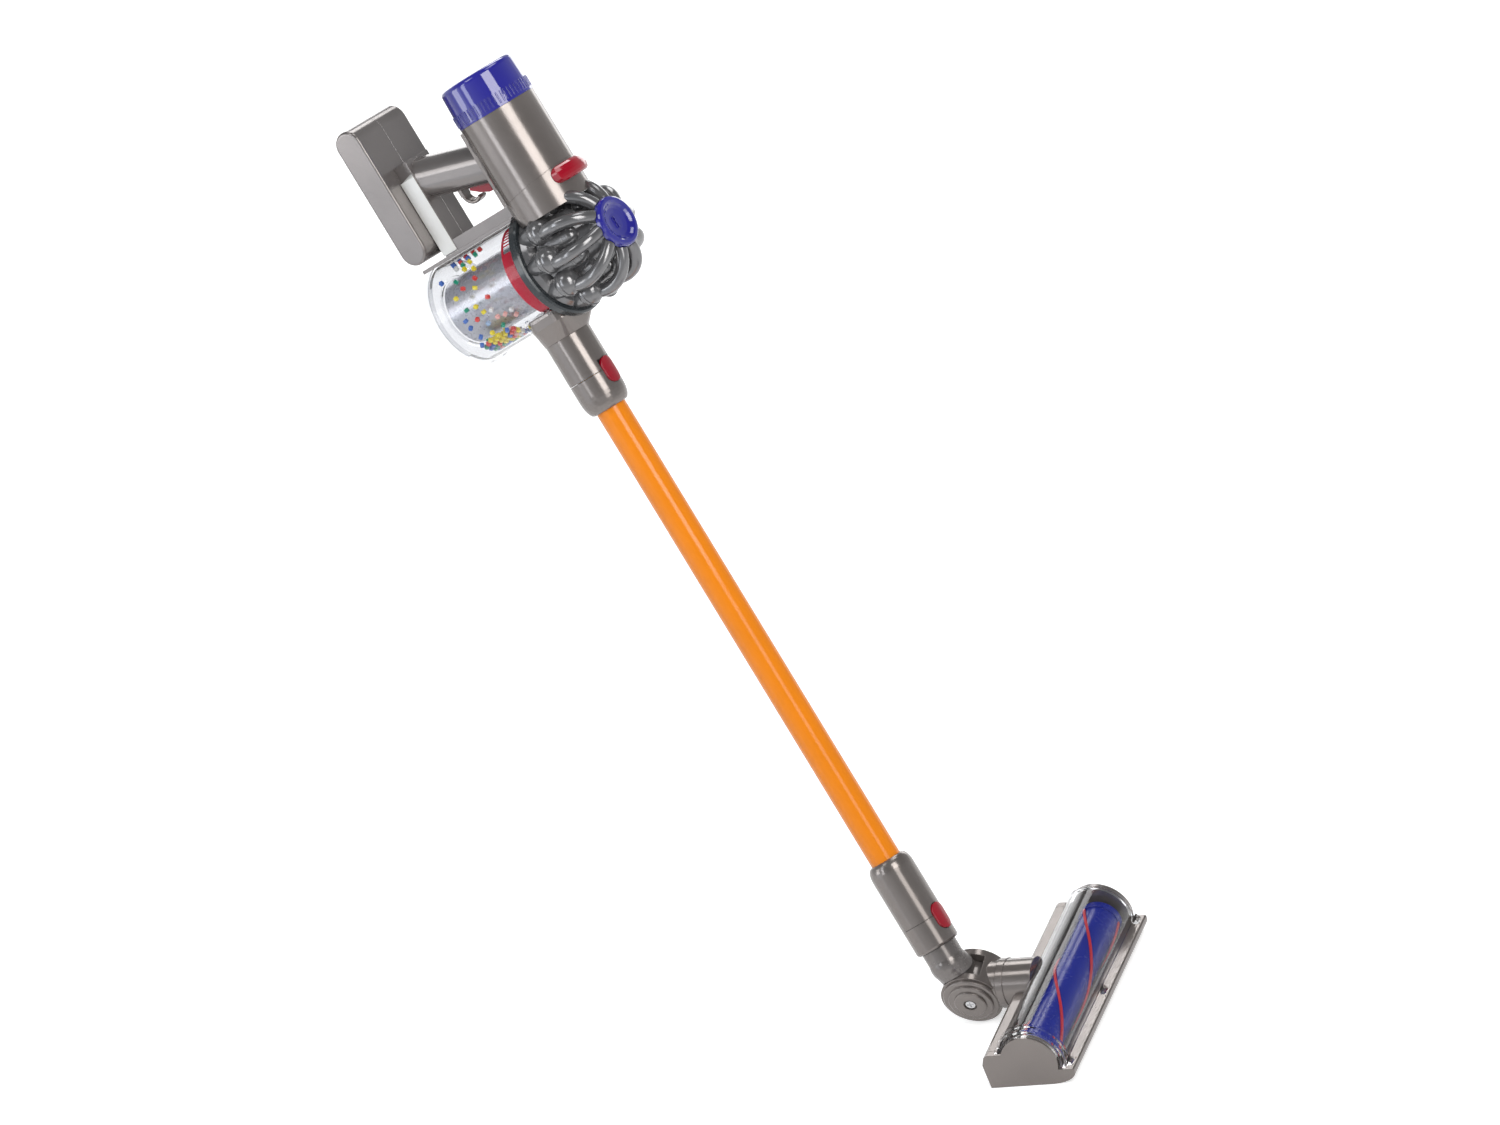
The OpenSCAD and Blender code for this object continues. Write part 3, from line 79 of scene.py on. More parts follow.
# %% Directions and places
MM = 0.001
MICRON = 0.000001
WAND_LENGTH = 340 * MM
COLLAR_LENGTH = 23.7 * MM
RIGHT = Vector(joints["trigger_pull"]["axis"]).normalized()
BACK = Vector(joints["fan_spin"]["axis"]).normalized()
UP_WAND = -Vector(joints["wand_pull"]["axis"]).normalized()
WAND_FOOT = Vector(joints["neck_twist"]["pos_m"])
NOZZLE_MOUTH = WAND_FOOT + UP_WAND * (WAND_LENGTH + COLLAR_LENGTH)
KNUCKLE = Vector(joints["neck_pitch"]["pos_m"])
FLOOR_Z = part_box("head_base")[0].z


def frame_at(place, x_way, y_way, z_way):
    """A place and its three directions as one matrix."""
    return Matrix.Translation(place) @ Matrix((x_way, y_way, z_way)).transposed().to_4x4()


HAND_FRAME = frame_at(NOZZLE_MOUTH, RIGHT, BACK, UP_WAND)
print("wand foot at", [round(c, 4) for c in WAND_FOOT], "floor at", round(FLOOR_Z, 4))

# %% [markdown]
# The camera stands where the photograph was taken: in front of the toy, to its left and about
# thirty degrees above the level, far away with a long lens that flattens the depth. It could be
# aimed by eye, but round rims look like ellipses in a picture, and their shapes tell the angle, so
# its three directions were fitted to the bin, the cap and the collars. They also hold the slight
# roll of the picture.

# %% Camera
CAMERA_RIGHT = Vector((0.2907, -0.91466, -0.28086))
CAMERA_UP = Vector((0.56243, -0.07412, 0.82352))
CAMERA_BACK = CAMERA_RIGHT.cross(CAMERA_UP)
CAMERA_PLACE = Vector((-8.3688, -4.4154, 5.0143))
camera_data = bpy.data.cameras.new("camera")
camera_data.sensor_width = 36
camera_data.lens = 400
camera_data.clip_end = 60
camera = bpy.data.objects.new("camera", camera_data)
bpy.context.scene.collection.objects.link(camera)
camera.matrix_world = frame_at(CAMERA_PLACE, CAMERA_RIGHT, CAMERA_UP, CAMERA_BACK)
bpy.context.scene.camera = camera
print("camera", round((CAMERA_PLACE - KNUCKLE).length, 2), "m from the knuckle")

# %% [markdown]
# A material is a small network of nodes. A few short helpers keep the networks readable: one gives
# a node its inputs, one adds a node, three add the kinds that are used most, and one starts a
# material with its shader.

# %% Helpers for node networks
def fill(tree, node, inputs):
    """Gives a node its inputs: another node's socket is linked, anything else is a value."""
    for name, value in inputs.items():
        if isinstance(value, bpy.types.NodeSocket):
            tree.links.new(value, node.inputs[name])
        else:
            node.inputs[name].default_value = value


def add_node(tree, kind, inputs=None, **settings):
    """A node of that kind, with its settings and its inputs."""
    node = tree.nodes.new(kind)
    for name, value in settings.items():
        setattr(node, name, value)
    fill(tree, node, inputs or {})
    return node


def calculate(tree, operation, first, second, **settings):
    """The result of a Math node."""
    inputs = {0: first, 1: second}
    return add_node(tree, "ShaderNodeMath", inputs, operation=operation, **settings).outputs[0]


def remap(tree, value, source, target, **settings):
    """The result of a Map Range node, which spreads the source span over the target span."""
    inputs = {"Value": value, "From Min": source[0], "From Max": source[1],
        "To Min": target[0], "To Max": target[1]}
    return add_node(tree, "ShaderNodeMapRange", inputs, **settings).outputs["Result"]


def mix_shaders(tree, share, first, second):
    """The second shader for that share, and the first one for the rest."""
    return add_node(tree, "ShaderNodeMixShader", {0: share, 1: first, 2: second}).outputs[0]


def start_material(name):
    """A new material with its shader and the object coordinates."""
    material = bpy.data.materials.new(name)
    material.use_nodes = True
    tree = material.node_tree
    coordinates = add_node(tree, "ShaderNodeTexCoord")
    return material, tree, tree.nodes["Principled BSDF"], coordinates.outputs["Object"]


# %% [markdown]
# What several materials share is a node group: a network of its own with named inputs and outputs.
# It is built once, and each material that uses it gives its own values.

# %% Helpers for node groups
FLOAT, COLOUR, VECTOR = "NodeSocketFloat", "NodeSocketColor", "NodeSocketVector"
MIDDLE_GREY = (0.5, 0.5, 0.5, 1)
AROUND_ZERO = (-0.5, 0.5)


def start_group(name, inputs, outputs):
    """A shader node group, the sockets that bring its inputs, and those that take its outputs."""
    group = bpy.data.node_groups.new(name, "ShaderNodeTree")
    for label, kind, value in inputs:
        socket = group.interface.new_socket(label, in_out="INPUT", socket_type=kind)
        if value is not None:
            socket.default_value = value
    for label, kind in outputs:
        group.interface.new_socket(label, in_out="OUTPUT", socket_type=kind)
    entry, end = add_node(group, "NodeGroupInput"), add_node(group, "NodeGroupOutput")
    return group, entry.outputs, end.inputs


def place_group(tree, group, **inputs):
    """Puts a group into a material, with its inputs."""
    node = add_node(tree, "ShaderNodeGroup", node_tree=group)
    fill(tree, node, {name.replace("_", " "): value for name, value in inputs.items()})
    return node


def vary_colour(tree, value, amount, colour, result):
    """Brightens and darkens a colour by a share of a value that lies around zero."""
    gain = calculate(tree, "ADD", calculate(tree, "MULTIPLY", value, amount), 1.0)
    tint = add_node(tree, "ShaderNodeVectorMath", {0: colour, "Scale": gain}, operation="SCALE")
    tree.links.new(tint.outputs["Vector"], result)


# %% [markdown]
# Moulded plastic is never one flat colour. The pigment drifts a little where the melt flowed, hands
# polish some areas and dull others, and the surface has a faint grain. The first group is the
# drift. It could be painted by hand, but a soft, slightly twisted noise that brightens and darkens
# the colour never repeats and needs no picture.

# %% Group: drift of the pigment
drift_group, drift_in, drift_out = start_group(
    "pigment_drift",
    [("Vector", VECTOR, None), ("Colour", COLOUR, MIDDLE_GREY), ("Size", FLOAT, 30.0),
     ("Amount", FLOAT, 0.1)],
    [("Colour", COLOUR)])
flow = add_node(drift_group, "ShaderNodeTexNoise", {"Vector": drift_in["Vector"],
    "Scale": drift_in["Size"], "Detail": 3.0, "Distortion": 0.6})
flow_share = remap(drift_group, flow.outputs["Fac"], (0.3, 0.7), AROUND_ZERO)
vary_colour(drift_group, flow_share, drift_in["Amount"], drift_in["Colour"], drift_out["Colour"])
print("group", drift_group.name)

# %% [markdown]
# The grey mouldings look like nickel because fine metal flakes are mixed into the plastic. Modelled
# flakes would be millions of faces. Instead each flake is a tiny cell of a Voronoi pattern, a tenth
# of a millimetre wide, with its own brightness. From a distance the cells melt together and only a
# soft shimmer is left.

# %% Group: metal flakes
flake_group, flake_in, flake_out = start_group(
    "metal_flakes",
    [("Vector", VECTOR, None), ("Colour", COLOUR, MIDDLE_GREY),
     ("Flakes per metre", FLOAT, 9000.0), ("Sparkle", FLOAT, 0.2)],
    [("Colour", COLOUR)])
flake_cells = add_node(flake_group, "ShaderNodeTexVoronoi", {"Vector": flake_in["Vector"],
    "Scale": flake_in["Flakes per metre"]})
flake_value = add_node(flake_group, "ShaderNodeSeparateColor",
    {"Color": flake_cells.outputs["Color"]})
flake_share = remap(flake_group, flake_value.outputs["Red"], (0.0, 1.0), AROUND_ZERO)
vary_colour(flake_group, flake_share, flake_in["Sparkle"], flake_in["Colour"], flake_out["Colour"])
print("group", flake_group.name)

# %% [markdown]
# Hands leave soft smears that change how sharp a reflection is. They could be a second, greasy
# coat, but a changing roughness shows the same thing with less. One noise gives the large smooth
# smears, a finer one the rubbing inside them, and their product sets the roughness.

# %% Group: handling marks
marks_group, marks_in, marks_out = start_group(
    "handling_marks",
    [("Vector", VECTOR, None), ("Clean", FLOAT, 0.2), ("Smeared", FLOAT, 0.35)],
    [("Roughness", FLOAT)])
smears = add_node(marks_group, "ShaderNodeTexNoise", {"Vector": marks_in["Vector"],
    "Scale": 38.0, "Detail": 4.0, "Distortion": 1.2})
rubbing = add_node(marks_group, "ShaderNodeTexNoise", {"Vector": marks_in["Vector"],
    "Scale": 420.0, "Detail": 2.0})
smear_mix = calculate(marks_group, "MULTIPLY", smears.outputs["Fac"], rubbing.outputs["Fac"])
smear_roughness = remap(marks_group, smear_mix, (0.15, 0.4),
    (marks_in["Clean"], marks_in["Smeared"]))
marks_group.links.new(smear_roughness, marks_out["Roughness"])
print("group", marks_group.name)

# %% [markdown]
# The mould's own surface leaves a grain, much finer than a millimetre, over long low waves, and
# drawn or rolled metal has long fine lines. Both are too fine for a mesh, so they are heights for a
# Bump node. The lines are an ordinary noise on coordinates that are stretched across the lines.

# %% Groups: mould grain and drawn lines
grain_group, grain_in, grain_out = start_group(
    "mould_grain",
    [("Vector", VECTOR, None), ("Grains per metre", FLOAT, 1500.0)],
    [("Height", FLOAT)])
grain = add_node(grain_group, "ShaderNodeTexNoise", {"Vector": grain_in["Vector"],
    "Scale": grain_in["Grains per metre"], "Detail": 2.0})
waves = add_node(grain_group, "ShaderNodeTexNoise", {"Vector": grain_in["Vector"], "Scale": 70.0})
grain_on_waves = add_node(grain_group, "ShaderNodeMath", {0: waves.outputs["Fac"], 1: 2.0,
    2: grain.outputs["Fac"]}, operation="MULTIPLY_ADD")
grain_group.links.new(grain_on_waves.outputs["Value"], grain_out["Height"])

lines_group, lines_in, lines_out = start_group(
    "drawn_lines",
    [("Vector", VECTOR, None), ("Stretch", VECTOR, (2500.0, 2500.0, 60.0))],
    [("Height", FLOAT)])
stretched = add_node(lines_group, "ShaderNodeVectorMath", {0: lines_in["Vector"],
    1: lines_in["Stretch"]}, operation="MULTIPLY")
line_noise = add_node(lines_group, "ShaderNodeTexNoise", {"Vector": stretched.outputs["Vector"],
    "Scale": 1.0, "Detail": 2.0})
lines_group.links.new(line_noise.outputs["Fac"], lines_out["Height"])
print("groups", grain_group.name, lines_group.name)

# %% [markdown]
# A mould has no knife edges: every corner of a plastic piece is rounded by a few tenths of a
# millimetre, and that small round catches the light as a bright line. It could be modelled with a
# Bevel modifier on each piece. The Bevel node gives the same line for less, since it bends the
# normal near an edge while the picture is made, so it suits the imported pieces, whose meshes stay
# untouched.
#
# One function builds every opaque plastic: the colour passes through the drift and the flakes, the
# handling marks set the roughness, and the grain feeds a Bump over the rounded edges. The plain
# numbers stay on the shader.

# %% Opaque plastics
EDGE_ROUND = 0.5 * MM


def plastic(name, colour, rough, metallic=0.0, coat=0.0, drift=0.1, sparkle=0.0,
            grain_height=2 * MICRON, grains=1500.0, coat_roughness=0.06, index=1.5):
    """A moulded plastic. Rough holds the roughness where it is clean and where it is smeared."""
    material, tree, shader, place = start_material(name)
    tinted = place_group(tree, drift_group, Vector=place, Colour=(*colour, 1), Size=26.0,
        Amount=drift)
    if sparkle:
        tinted = place_group(tree, flake_group, Vector=place, Colour=tinted.outputs["Colour"],
            Sparkle=sparkle)
    marks = place_group(tree, marks_group, Vector=place, Clean=rough[0], Smeared=rough[1])
    moulded = place_group(tree, grain_group, Vector=place, Grains_per_metre=grains)
    rounded = add_node(tree, "ShaderNodeBevel", {"Radius": EDGE_ROUND}, samples=4)
    bump = add_node(tree, "ShaderNodeBump", {"Height": moulded.outputs["Height"], "Strength": 0.4,
        "Distance": grain_height, "Normal": rounded.outputs["Normal"]})
    fill(tree, shader, {"Base Color": tinted.outputs["Colour"],
        "Roughness": marks.outputs["Roughness"], "Normal": bump.outputs["Normal"],
        "Coat Normal": rounded.outputs["Normal"], "Metallic": metallic, "Coat Weight": coat,
        "Coat Roughness": coat_roughness, "IOR": index})
    return material


finish = {
    "warm_grey": plastic("nickel_grey", (0.232, 0.206, 0.193), (0.18, 0.25), metallic=0.6,
        coat=0.25, sparkle=0.04),
    "warm_grey_light": plastic("nickel_grey_light", (0.25, 0.229, 0.222), (0.18, 0.25),
        metallic=0.6, coat=0.25, sparkle=0.05),
    "warm_grey_dark": plastic("nickel_grey_dark", (0.2, 0.182, 0.174), (0.2, 0.3),
        metallic=0.55, coat=0.25, sparkle=0.04),
    "slate": plastic("cyclone_slate", (0.205, 0.203, 0.208), (0.15, 0.22), metallic=0.6,
        coat=0.35, sparkle=0.03),
    "slate_dark": plastic("flange_slate", (0.03, 0.037, 0.042), (0.2, 0.3), metallic=0.3,
        coat=0.4),
    "violet": plastic("cap_violet", (0.02, 0.019, 0.28), (0.05, 0.1), coat=1.0,
        coat_roughness=0.03),
    "roller_violet": plastic("roller_violet", (0.016, 0.026, 0.26), (0.2, 0.3), drift=0.12,
        coat=0.1, grain_height=20 * MICRON, grains=1200.0, index=1.4),
    "crimson": plastic("release_crimson", (0.36, 0.004, 0.018), (0.08, 0.15), coat=0.4,
        drift=0.12, coat_roughness=0.04),
    "crimson_strip": plastic("strip_crimson", (0.5, 0.01, 0.03), (0.5, 0.65), drift=0.25,
        grain_height=100 * MICRON, grains=2600.0),
    "orange": plastic("wand_orange", (0.9, 0.255, 0.004), (0.14, 0.22), coat=0.35, drift=0.05,
        sparkle=0.02, index=1.33),
    "core_grey": plastic("core_grey", (0.52, 0.525, 0.575), (0.26, 0.3), metallic=0.5,
        sparkle=0.02, drift=0.05, grain_height=0.3 * MICRON),
    "band_crimson": plastic("band_crimson", (0.68, 0.006, 0.04), (0.4, 0.5), index=1.3,
        grain_height=0.5 * MICRON),
    # The strut strip's pale colour is painted highlight, a far lighter copy of the nickel grey.
    "strip_painted_highlight_nickel": plastic("strip_painted_highlight_nickel", (0.78, 0.78, 0.76), (0.42, 0.5), metallic=0.35,
        sparkle=0.03, drift=0.06, grain_height=0.5 * MICRON),
    "inner_grey": plastic("inner_grey", (0.1, 0.095, 0.09), (0.5, 0.6)),
    "inner_black": plastic("inner_black", (0.012, 0.012, 0.012), (0.4, 0.55)),
    "fan_grey": plastic("fan_grey", (0.34, 0.33, 0.32), (0.4, 0.5)),
}
print("opaque plastics", len(finish))

# %% [markdown]
# The bin and the head's window are clear. A thin clear wall mostly lets light straight through,
# and shows itself by its reflections, its brighter edges and the grey that each wall takes out of
# the light. Real plastic bends light far more than this index does, but a wall this thin hides
# that, and a low index keeps what is behind it in place. The coat has the full index of the
# plastic, so the highlights are as bright as on the toy, and it grows towards the slanting rims,
# as gloss does. Rays that gather light or come from a reflection pass freely, so the beads aren't
# in the dark and the grey core keeps its streak.

# %% Clear plastic
SMEAR_COLOUR = (0.97, 0.97, 0.97, 1)
THROUGH_COLOUR = (0.98, 0.98, 0.98, 1)
SLANT_SPAN = (0.35, 0.85)


def clear_plastic(name, colour, smear, index, veil, rim):
    """A thin clear wall. Veil and rim are the coat's share where it is seen straight and aslant."""
    material, tree, shader, place = start_material(name)
    marks = place_group(tree, marks_group, Vector=place, Clean=0.0, Smeared=smear)
    smeared = add_node(tree, "ShaderNodeMix", {"Factor": marks.outputs["Roughness"],
        6: (*colour, 1), 7: SMEAR_COLOUR}, data_type="RGBA")
    slant = add_node(tree, "ShaderNodeLayerWeight", {"Blend": 0.5})
    shine = remap(tree, slant.outputs["Facing"], SLANT_SPAN, (veil, rim))
    fill(tree, shader, {"Base Color": smeared.outputs[2], "Coat Weight": shine, "Roughness": 0.0,
        "Transmission Weight": 1.0, "IOR": index, "Coat Roughness": 0.02, "Coat IOR": 1.5})
    through = add_node(tree, "ShaderNodeBsdfTransparent", {"Color": THROUGH_COLOUR})
    path = add_node(tree, "ShaderNodeLightPath").outputs
    gathering = calculate(tree, "MAXIMUM", path["Is Shadow Ray"], path["Is Diffuse Ray"])
    reflected = calculate(tree, "SUBTRACT", path["Is Glossy Ray"], path["Is Transmission Ray"],
        use_clamp=True)
    passing = calculate(tree, "MAXIMUM", gathering, reflected)
    surface = mix_shaders(tree, passing, shader.outputs["BSDF"], through.outputs["BSDF"])
    fill(tree, tree.nodes["Material Output"], {"Surface": surface})
    return material


finish["clear"] = clear_plastic("clear_window", (0.95, 0.955, 0.965), smear=0.2, index=1.12,
    veil=0.22, rim=0.9)
clear_bin = clear_plastic("clear_bin", (0.8, 0.805, 0.82), smear=0.1, index=1.14, veil=0.22,
    rim=0.4)
print("clear plastics ready")

# %% [markdown]
# Springs, screws, pins and the motor's can are bright plated steel with fine lines, and each cell
# wears a gold metal jacket. An anisotropic shader could stretch their highlights, but the lines of
# the Bump do that and can be seen from near too. The circuit board is green lacquer over a weave,
# so it is a plastic with a coarser grain.

# %% Metals, board and cells
def bright_metal(name, colour, rough):
    """A plated or rolled metal with fine lines along one way."""
    material, tree, shader, place = start_material(name)
    tinted = place_group(tree, drift_group, Vector=place, Colour=(*colour, 1), Size=60.0,
        Amount=0.16)
    marks = place_group(tree, marks_group, Vector=place, Clean=rough[0], Smeared=rough[1])
    drawn = place_group(tree, lines_group, Vector=place, Stretch=(2500.0, 2500.0, 80.0))
    bump = add_node(tree, "ShaderNodeBump", {"Height": drawn.outputs["Height"], "Strength": 0.4,
        "Distance": 30 * MICRON})
    fill(tree, shader, {"Base Color": tinted.outputs["Colour"],
        "Roughness": marks.outputs["Roughness"], "Normal": bump.outputs["Normal"],
        "Metallic": 1.0})
    return material


finish["steel"] = bright_metal("plated_steel", (0.62, 0.62, 0.63), (0.2, 0.36))
finish["motor_steel"] = bright_metal("motor_can", (0.5, 0.5, 0.52), (0.28, 0.42))
finish["cell"] = bright_metal("cell_jacket", (0.62, 0.44, 0.12), (0.25, 0.4))
finish["board"] = plastic("board_lacquer", (0.008, 0.095, 0.028), (0.25, 0.4), coat=0.4,
    drift=0.3, grain_height=50 * MICRON, grains=900.0)
print("finishes", len(finish))

# %% [markdown]
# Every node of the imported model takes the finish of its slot. The finishes could be given piece by
# piece, but the record already says which slot each node has, so one loop dresses them all. Only
# the bin is dressed apart, because its clear plastic is greyer than the head's window.

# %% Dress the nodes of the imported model
slot_of = {part["node"]: part["material_slot"] for part in frame["record"]["subparts"]}
for name, node in nodes.items():
    material = finish.get(slot_of[name], finish["fan_grey"])
    if name in ("bin_shell", "bin_base"):
        material = clear_bin
    if not node.material_slots:
        node.data.materials.append(material)
    for material_slot in node.material_slots:
        material_slot.material = material
print("dressed", len(nodes), "nodes")

# %% [markdown]
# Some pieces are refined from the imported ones, and then stand for them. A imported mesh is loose
# triangles, so a copy of it has its points merged and its flat triangles joined into whole faces
# first. Every modifier is applied, so the mesh that is seen is the mesh that is kept.

# %% Helpers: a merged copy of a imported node, and a finished piece
body_of = {node: body for body, members in frame["record"]["behaviour"]["bodies"].items()
    for node in members}


def select_only(piece):
    """Makes the piece the only selected one, and the active one."""
    bpy.ops.object.select_all(action="DESELECT")
    piece.select_set(True)
    bpy.context.view_layer.objects.active = piece


def merged_copy(name, node):
    """A new piece with the node's own shape, its triangles joined into whole faces."""
    piece = bpy.data.objects.new(name, nodes[node].data.copy())
    bpy.context.scene.collection.objects.link(piece)
    select_only(piece)
    bpy.ops.object.mode_set(mode="EDIT")
    bpy.ops.mesh.select_all(action="SELECT")
    bpy.ops.mesh.remove_doubles(threshold=2 * MICRON)
    bpy.ops.mesh.dissolve_limited(angle_limit=math.radians(0.5))
    bpy.ops.object.mode_set(mode="OBJECT")
    piece.data.materials.clear()
    return piece


def apply_modifier(piece, kind, **settings):
    """Adds a modifier to the active piece and makes it part of the mesh."""
    modifier = piece.modifiers.new(kind.lower(), kind)
    for name, value in settings.items():
        setattr(modifier, name, value)
    bpy.ops.object.modifier_apply(modifier=modifier.name)


def finish_piece(piece, node, material):
    """The piece stands for the node, moves with its body and takes the finish it is given."""
    piece.data.materials.append(material)
    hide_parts(node)
    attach(piece, body_of[node])


print("bodies of the nodes", sorted(set(body_of.values())))

# %% [markdown]
# About a hundred small cube beads whirl in the bin when the motor runs. At rest most of them lie in
# a heap at the bottom, and some cling to the wall. They are moulded in seven colours. Seven
# materials would do, but one serves them all if each bead carries its colour in an attribute of the
# mesh. A bead on the wall is found by its turn round the bin, in degrees, and its distance from the
# bin's end, in millimetres. The heap is coloured by short rows of letters, one set for the beads on
# top and one for the rest.

# %% Colours of the beads
BEAD_PAINTS = {
    "blue": (0.05, 0.17, 0.6), "green": (0.0, 0.34, 0.2), "red": (0.85, 0.05, 0.04),
    "yellow": (0.95, 0.78, 0.02), "white": (0.92, 0.91, 0.9), "pink": (0.95, 0.5, 0.46),
    "sky": (0.4, 0.56, 0.8)}
BEAD_LETTERS = {paint_name[0]: paint_name for paint_name in BEAD_PAINTS}
WALL_BEADS = [
    (105, 18, "blue"), (104, 24, "blue"), (104, 30, "red"), (104, 37, "red"), (105, 43, "red"),
    (112, 21, "blue"), (112, 27, "red"), (112, 34, "blue"), (113, 41, "green"),
    (119.5, 24, "white"), (120, 30.5, "green"), (121, 37, "yellow"), (129, 33, "yellow"),
    (96.5, 27, "red"), (96.5, 34, "red"), (136, 42, "yellow"), (129.7, 11, "blue"),
    (140, 25, "green"), (153, 30, "red"), (149, 42, "red"), (160, 40, "yellow"),
    (159.5, 22, "yellow"), (177, 46.5, "red"), (178, 26, "green"), (180, 34, "yellow"),
    (190, 37, "yellow"), (192.5, 43, "white"), (204, 43, "pink"), (206, 49, "pink"),
    (205, 55.5, "white"), (214, 55, "pink"), (194, 29, "red"), (188.5, 20.5, "blue"),
    (199, 20, "blue"), (205, 33.5, "sky"), (217.5, 40.5, "green"), (219.5, 29, "yellow"),
    (216, 20, "blue")]
MM_PER_DEGREE, WALL_MATCH = 0.6, 1.0
HEAP_INSIDE = {"rows": ["bgbgb", "rbgrg", "yyrgb", "yyybg", "yyyyg", "ybryb", "brpwr", "rywbs"],
    "first": 14}
HEAP_TOP = {"rows": ["gbg", "yry", "yyy", "yyb", "yyr", "pyw"], "first": 17}
HEAP_TOP_RADIUS = 29.5 * MM
HEAP_ROW_MM, HEAP_TURN, HEAP_SPAN = 4, 225, 40


def bead_colour(turn, depth, radius):
    """The paint of the bead at that turn, that many millimetres from the bin's end."""
    def distance(bead):
        return math.hypot((bead[0] - turn) * MM_PER_DEGREE, bead[1] - depth)

    nearest = min(WALL_BEADS, key=distance)
    if distance(nearest) < WALL_MATCH:
        return BEAD_PAINTS[nearest[2]]
    heap = HEAP_TOP if radius < HEAP_TOP_RADIUS else HEAP_INSIDE
    number = round((depth - heap["first"]) / HEAP_ROW_MM)
    row = heap["rows"][min(max(number, 0), len(heap["rows"]) - 1)]
    letter = row[int((turn - HEAP_TURN) / HEAP_SPAN * len(row)) % len(row)]
    return BEAD_PAINTS[BEAD_LETTERS[letter]]


print("bead colours", len(BEAD_PAINTS), "beads on the wall", len(WALL_BEADS))

# %% [markdown]
# Each bead could be added as a cube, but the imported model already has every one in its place, so
# the cubes are taken from there. They are one mesh, and the corners of each bead are found by
# following its edges. Then every bead is painted by the place of its middle. A Bevel modifier comes
# last and rounds the edges, as on a moulded bead, and it passes the paint on to the new corners.

# %% Beads
BIN_POINT = Vector(joints["fan_spin"]["pos_m"])
BIN_TURN = Matrix((RIGHT, UP_WAND, -BACK))
BIN_END = min((BIN_TURN @ (vertex.co - BIN_POINT)).z for vertex in nodes["bin_base"].data.vertices)
BEAD_ROUND = 0.28 * MM

beads = merged_copy("loose_beads", "beads")
lower_corner = list(range(len(beads.data.vertices)))


def first_corner(index):
    """The lowest-numbered corner that belongs to the same bead."""
    while lower_corner[index] != index:
        index = lower_corner[index]
    return index


for bead_edge in beads.data.edges:
    one, other = sorted(first_corner(index) for index in bead_edge.vertices)
    lower_corner[other] = one
corners_of = {}
for index in range(len(lower_corner)):
    corners_of.setdefault(first_corner(index), []).append(index)
paint = beads.data.color_attributes.new("bead_paint", "FLOAT_COLOR", "POINT")
for corners in corners_of.values():
    middle = sum((beads.data.vertices[index].co for index in corners), Vector()) / len(corners)
    place = BIN_TURN @ (middle - BIN_POINT)
    turn = math.degrees(math.atan2(place.y, place.x)) % 360
    colour = bead_colour(turn, (place.z - BIN_END) / MM, math.hypot(place.x, place.y))
    for index in corners:
        paint.data[index].color = (*colour, 1)
apply_modifier(beads, "BEVEL", width=BEAD_ROUND, segments=1)

bead_material, bead_tree, bead_shader, bead_place = start_material("bead_plastic")
bead_paint = add_node(bead_tree, "ShaderNodeAttribute", attribute_name="bead_paint")
bead_tint = place_group(bead_tree, drift_group, Vector=bead_place,
    Colour=bead_paint.outputs["Color"], Size=220.0, Amount=0.14)
bead_marks = place_group(bead_tree, marks_group, Vector=bead_place, Clean=0.3, Smeared=0.48)
fill(bead_tree, bead_shader, {"Base Color": bead_tint.outputs["Colour"],
    "Roughness": bead_marks.outputs["Roughness"]})
finish_piece(beads, "beads", bead_material)
print("beads painted", len(corners_of), "faces", len(beads.data.polygons))

# %% [markdown]
# A crimson band shows through the clear bin just behind the cyclone pack. It is the strainer that
# keeps the beads out of the motor: a short tube with fine slots in its upper side. It could be cut
# from a solid with booleans, but it is quicker as a sheet: a cylinder without ends is cut along two
# planes with Bisect, two of every three faces between the cuts are deleted in the slotted part, one
# rim is extruded and scaled inwards to a flange, and Solidify and Bevel then give the sheet its
# wall and its edges.

# %% Helpers: parts by their place, and a mesh put in its place
def place_in_mesh(piece, place):
    """Moves the points themselves, so the object stays at the origin, unturned."""
    piece.data.transform(place @ piece.matrix_basis)
    piece.matrix_basis = Matrix()


def select_parts(piece, wanted, kind="FACE"):
    """In edit mode, selects the faces or edges whose middle the test accepts."""
    bpy.ops.mesh.select_mode(type=kind)
    bpy.ops.mesh.select_all(action="DESELECT")
    shape = bmesh.from_edit_mesh(piece.data)
    found = 0
    for part in (shape.faces if kind == "FACE" else shape.edges):
        middle = sum((corner.co for corner in part.verts), Vector()) / len(part.verts)
        if wanted(middle):
            part.select_set(True)
            found += 1
    bmesh.update_edit_mesh(piece.data)
    return found


# %% Slotted band
BIN_FRAME = frame_at(BIN_POINT, RIGHT, UP_WAND, -BACK)
BAND_RADIUS, BAND_WALL, CORE_RADIUS = 32.3 * MM, 0.6 * MM, 22.9 * MM
BAND_START, BAND_END = BIN_END + 69.6 * MM, BIN_END + 83.6 * MM
BAND_FACES = 234
SLOT_FROM, SLOT_TO = 46, 146
SLOT_CUT, SLOT_INSIDE, BAND_RIM = 5.2 * MM, 5 * MM, 6.9 * MM
BAND_EDGE = 0.12 * MM
SMOOTH_ANGLE = math.radians(30)

bpy.ops.object.select_all(action="DESELECT")
bpy.ops.mesh.primitive_cylinder_add(vertices=BAND_FACES, radius=BAND_RADIUS,
    depth=BAND_END - BAND_START, end_fill_type="NOTHING")
band = bpy.context.object
band.name = "slotted_band"
bpy.ops.object.mode_set(mode="EDIT")
for cut in (-SLOT_CUT, SLOT_CUT):
    bpy.ops.mesh.select_all(action="SELECT")
    bpy.ops.mesh.bisect(plane_co=(0, 0, cut), plane_no=(0, 0, 1))


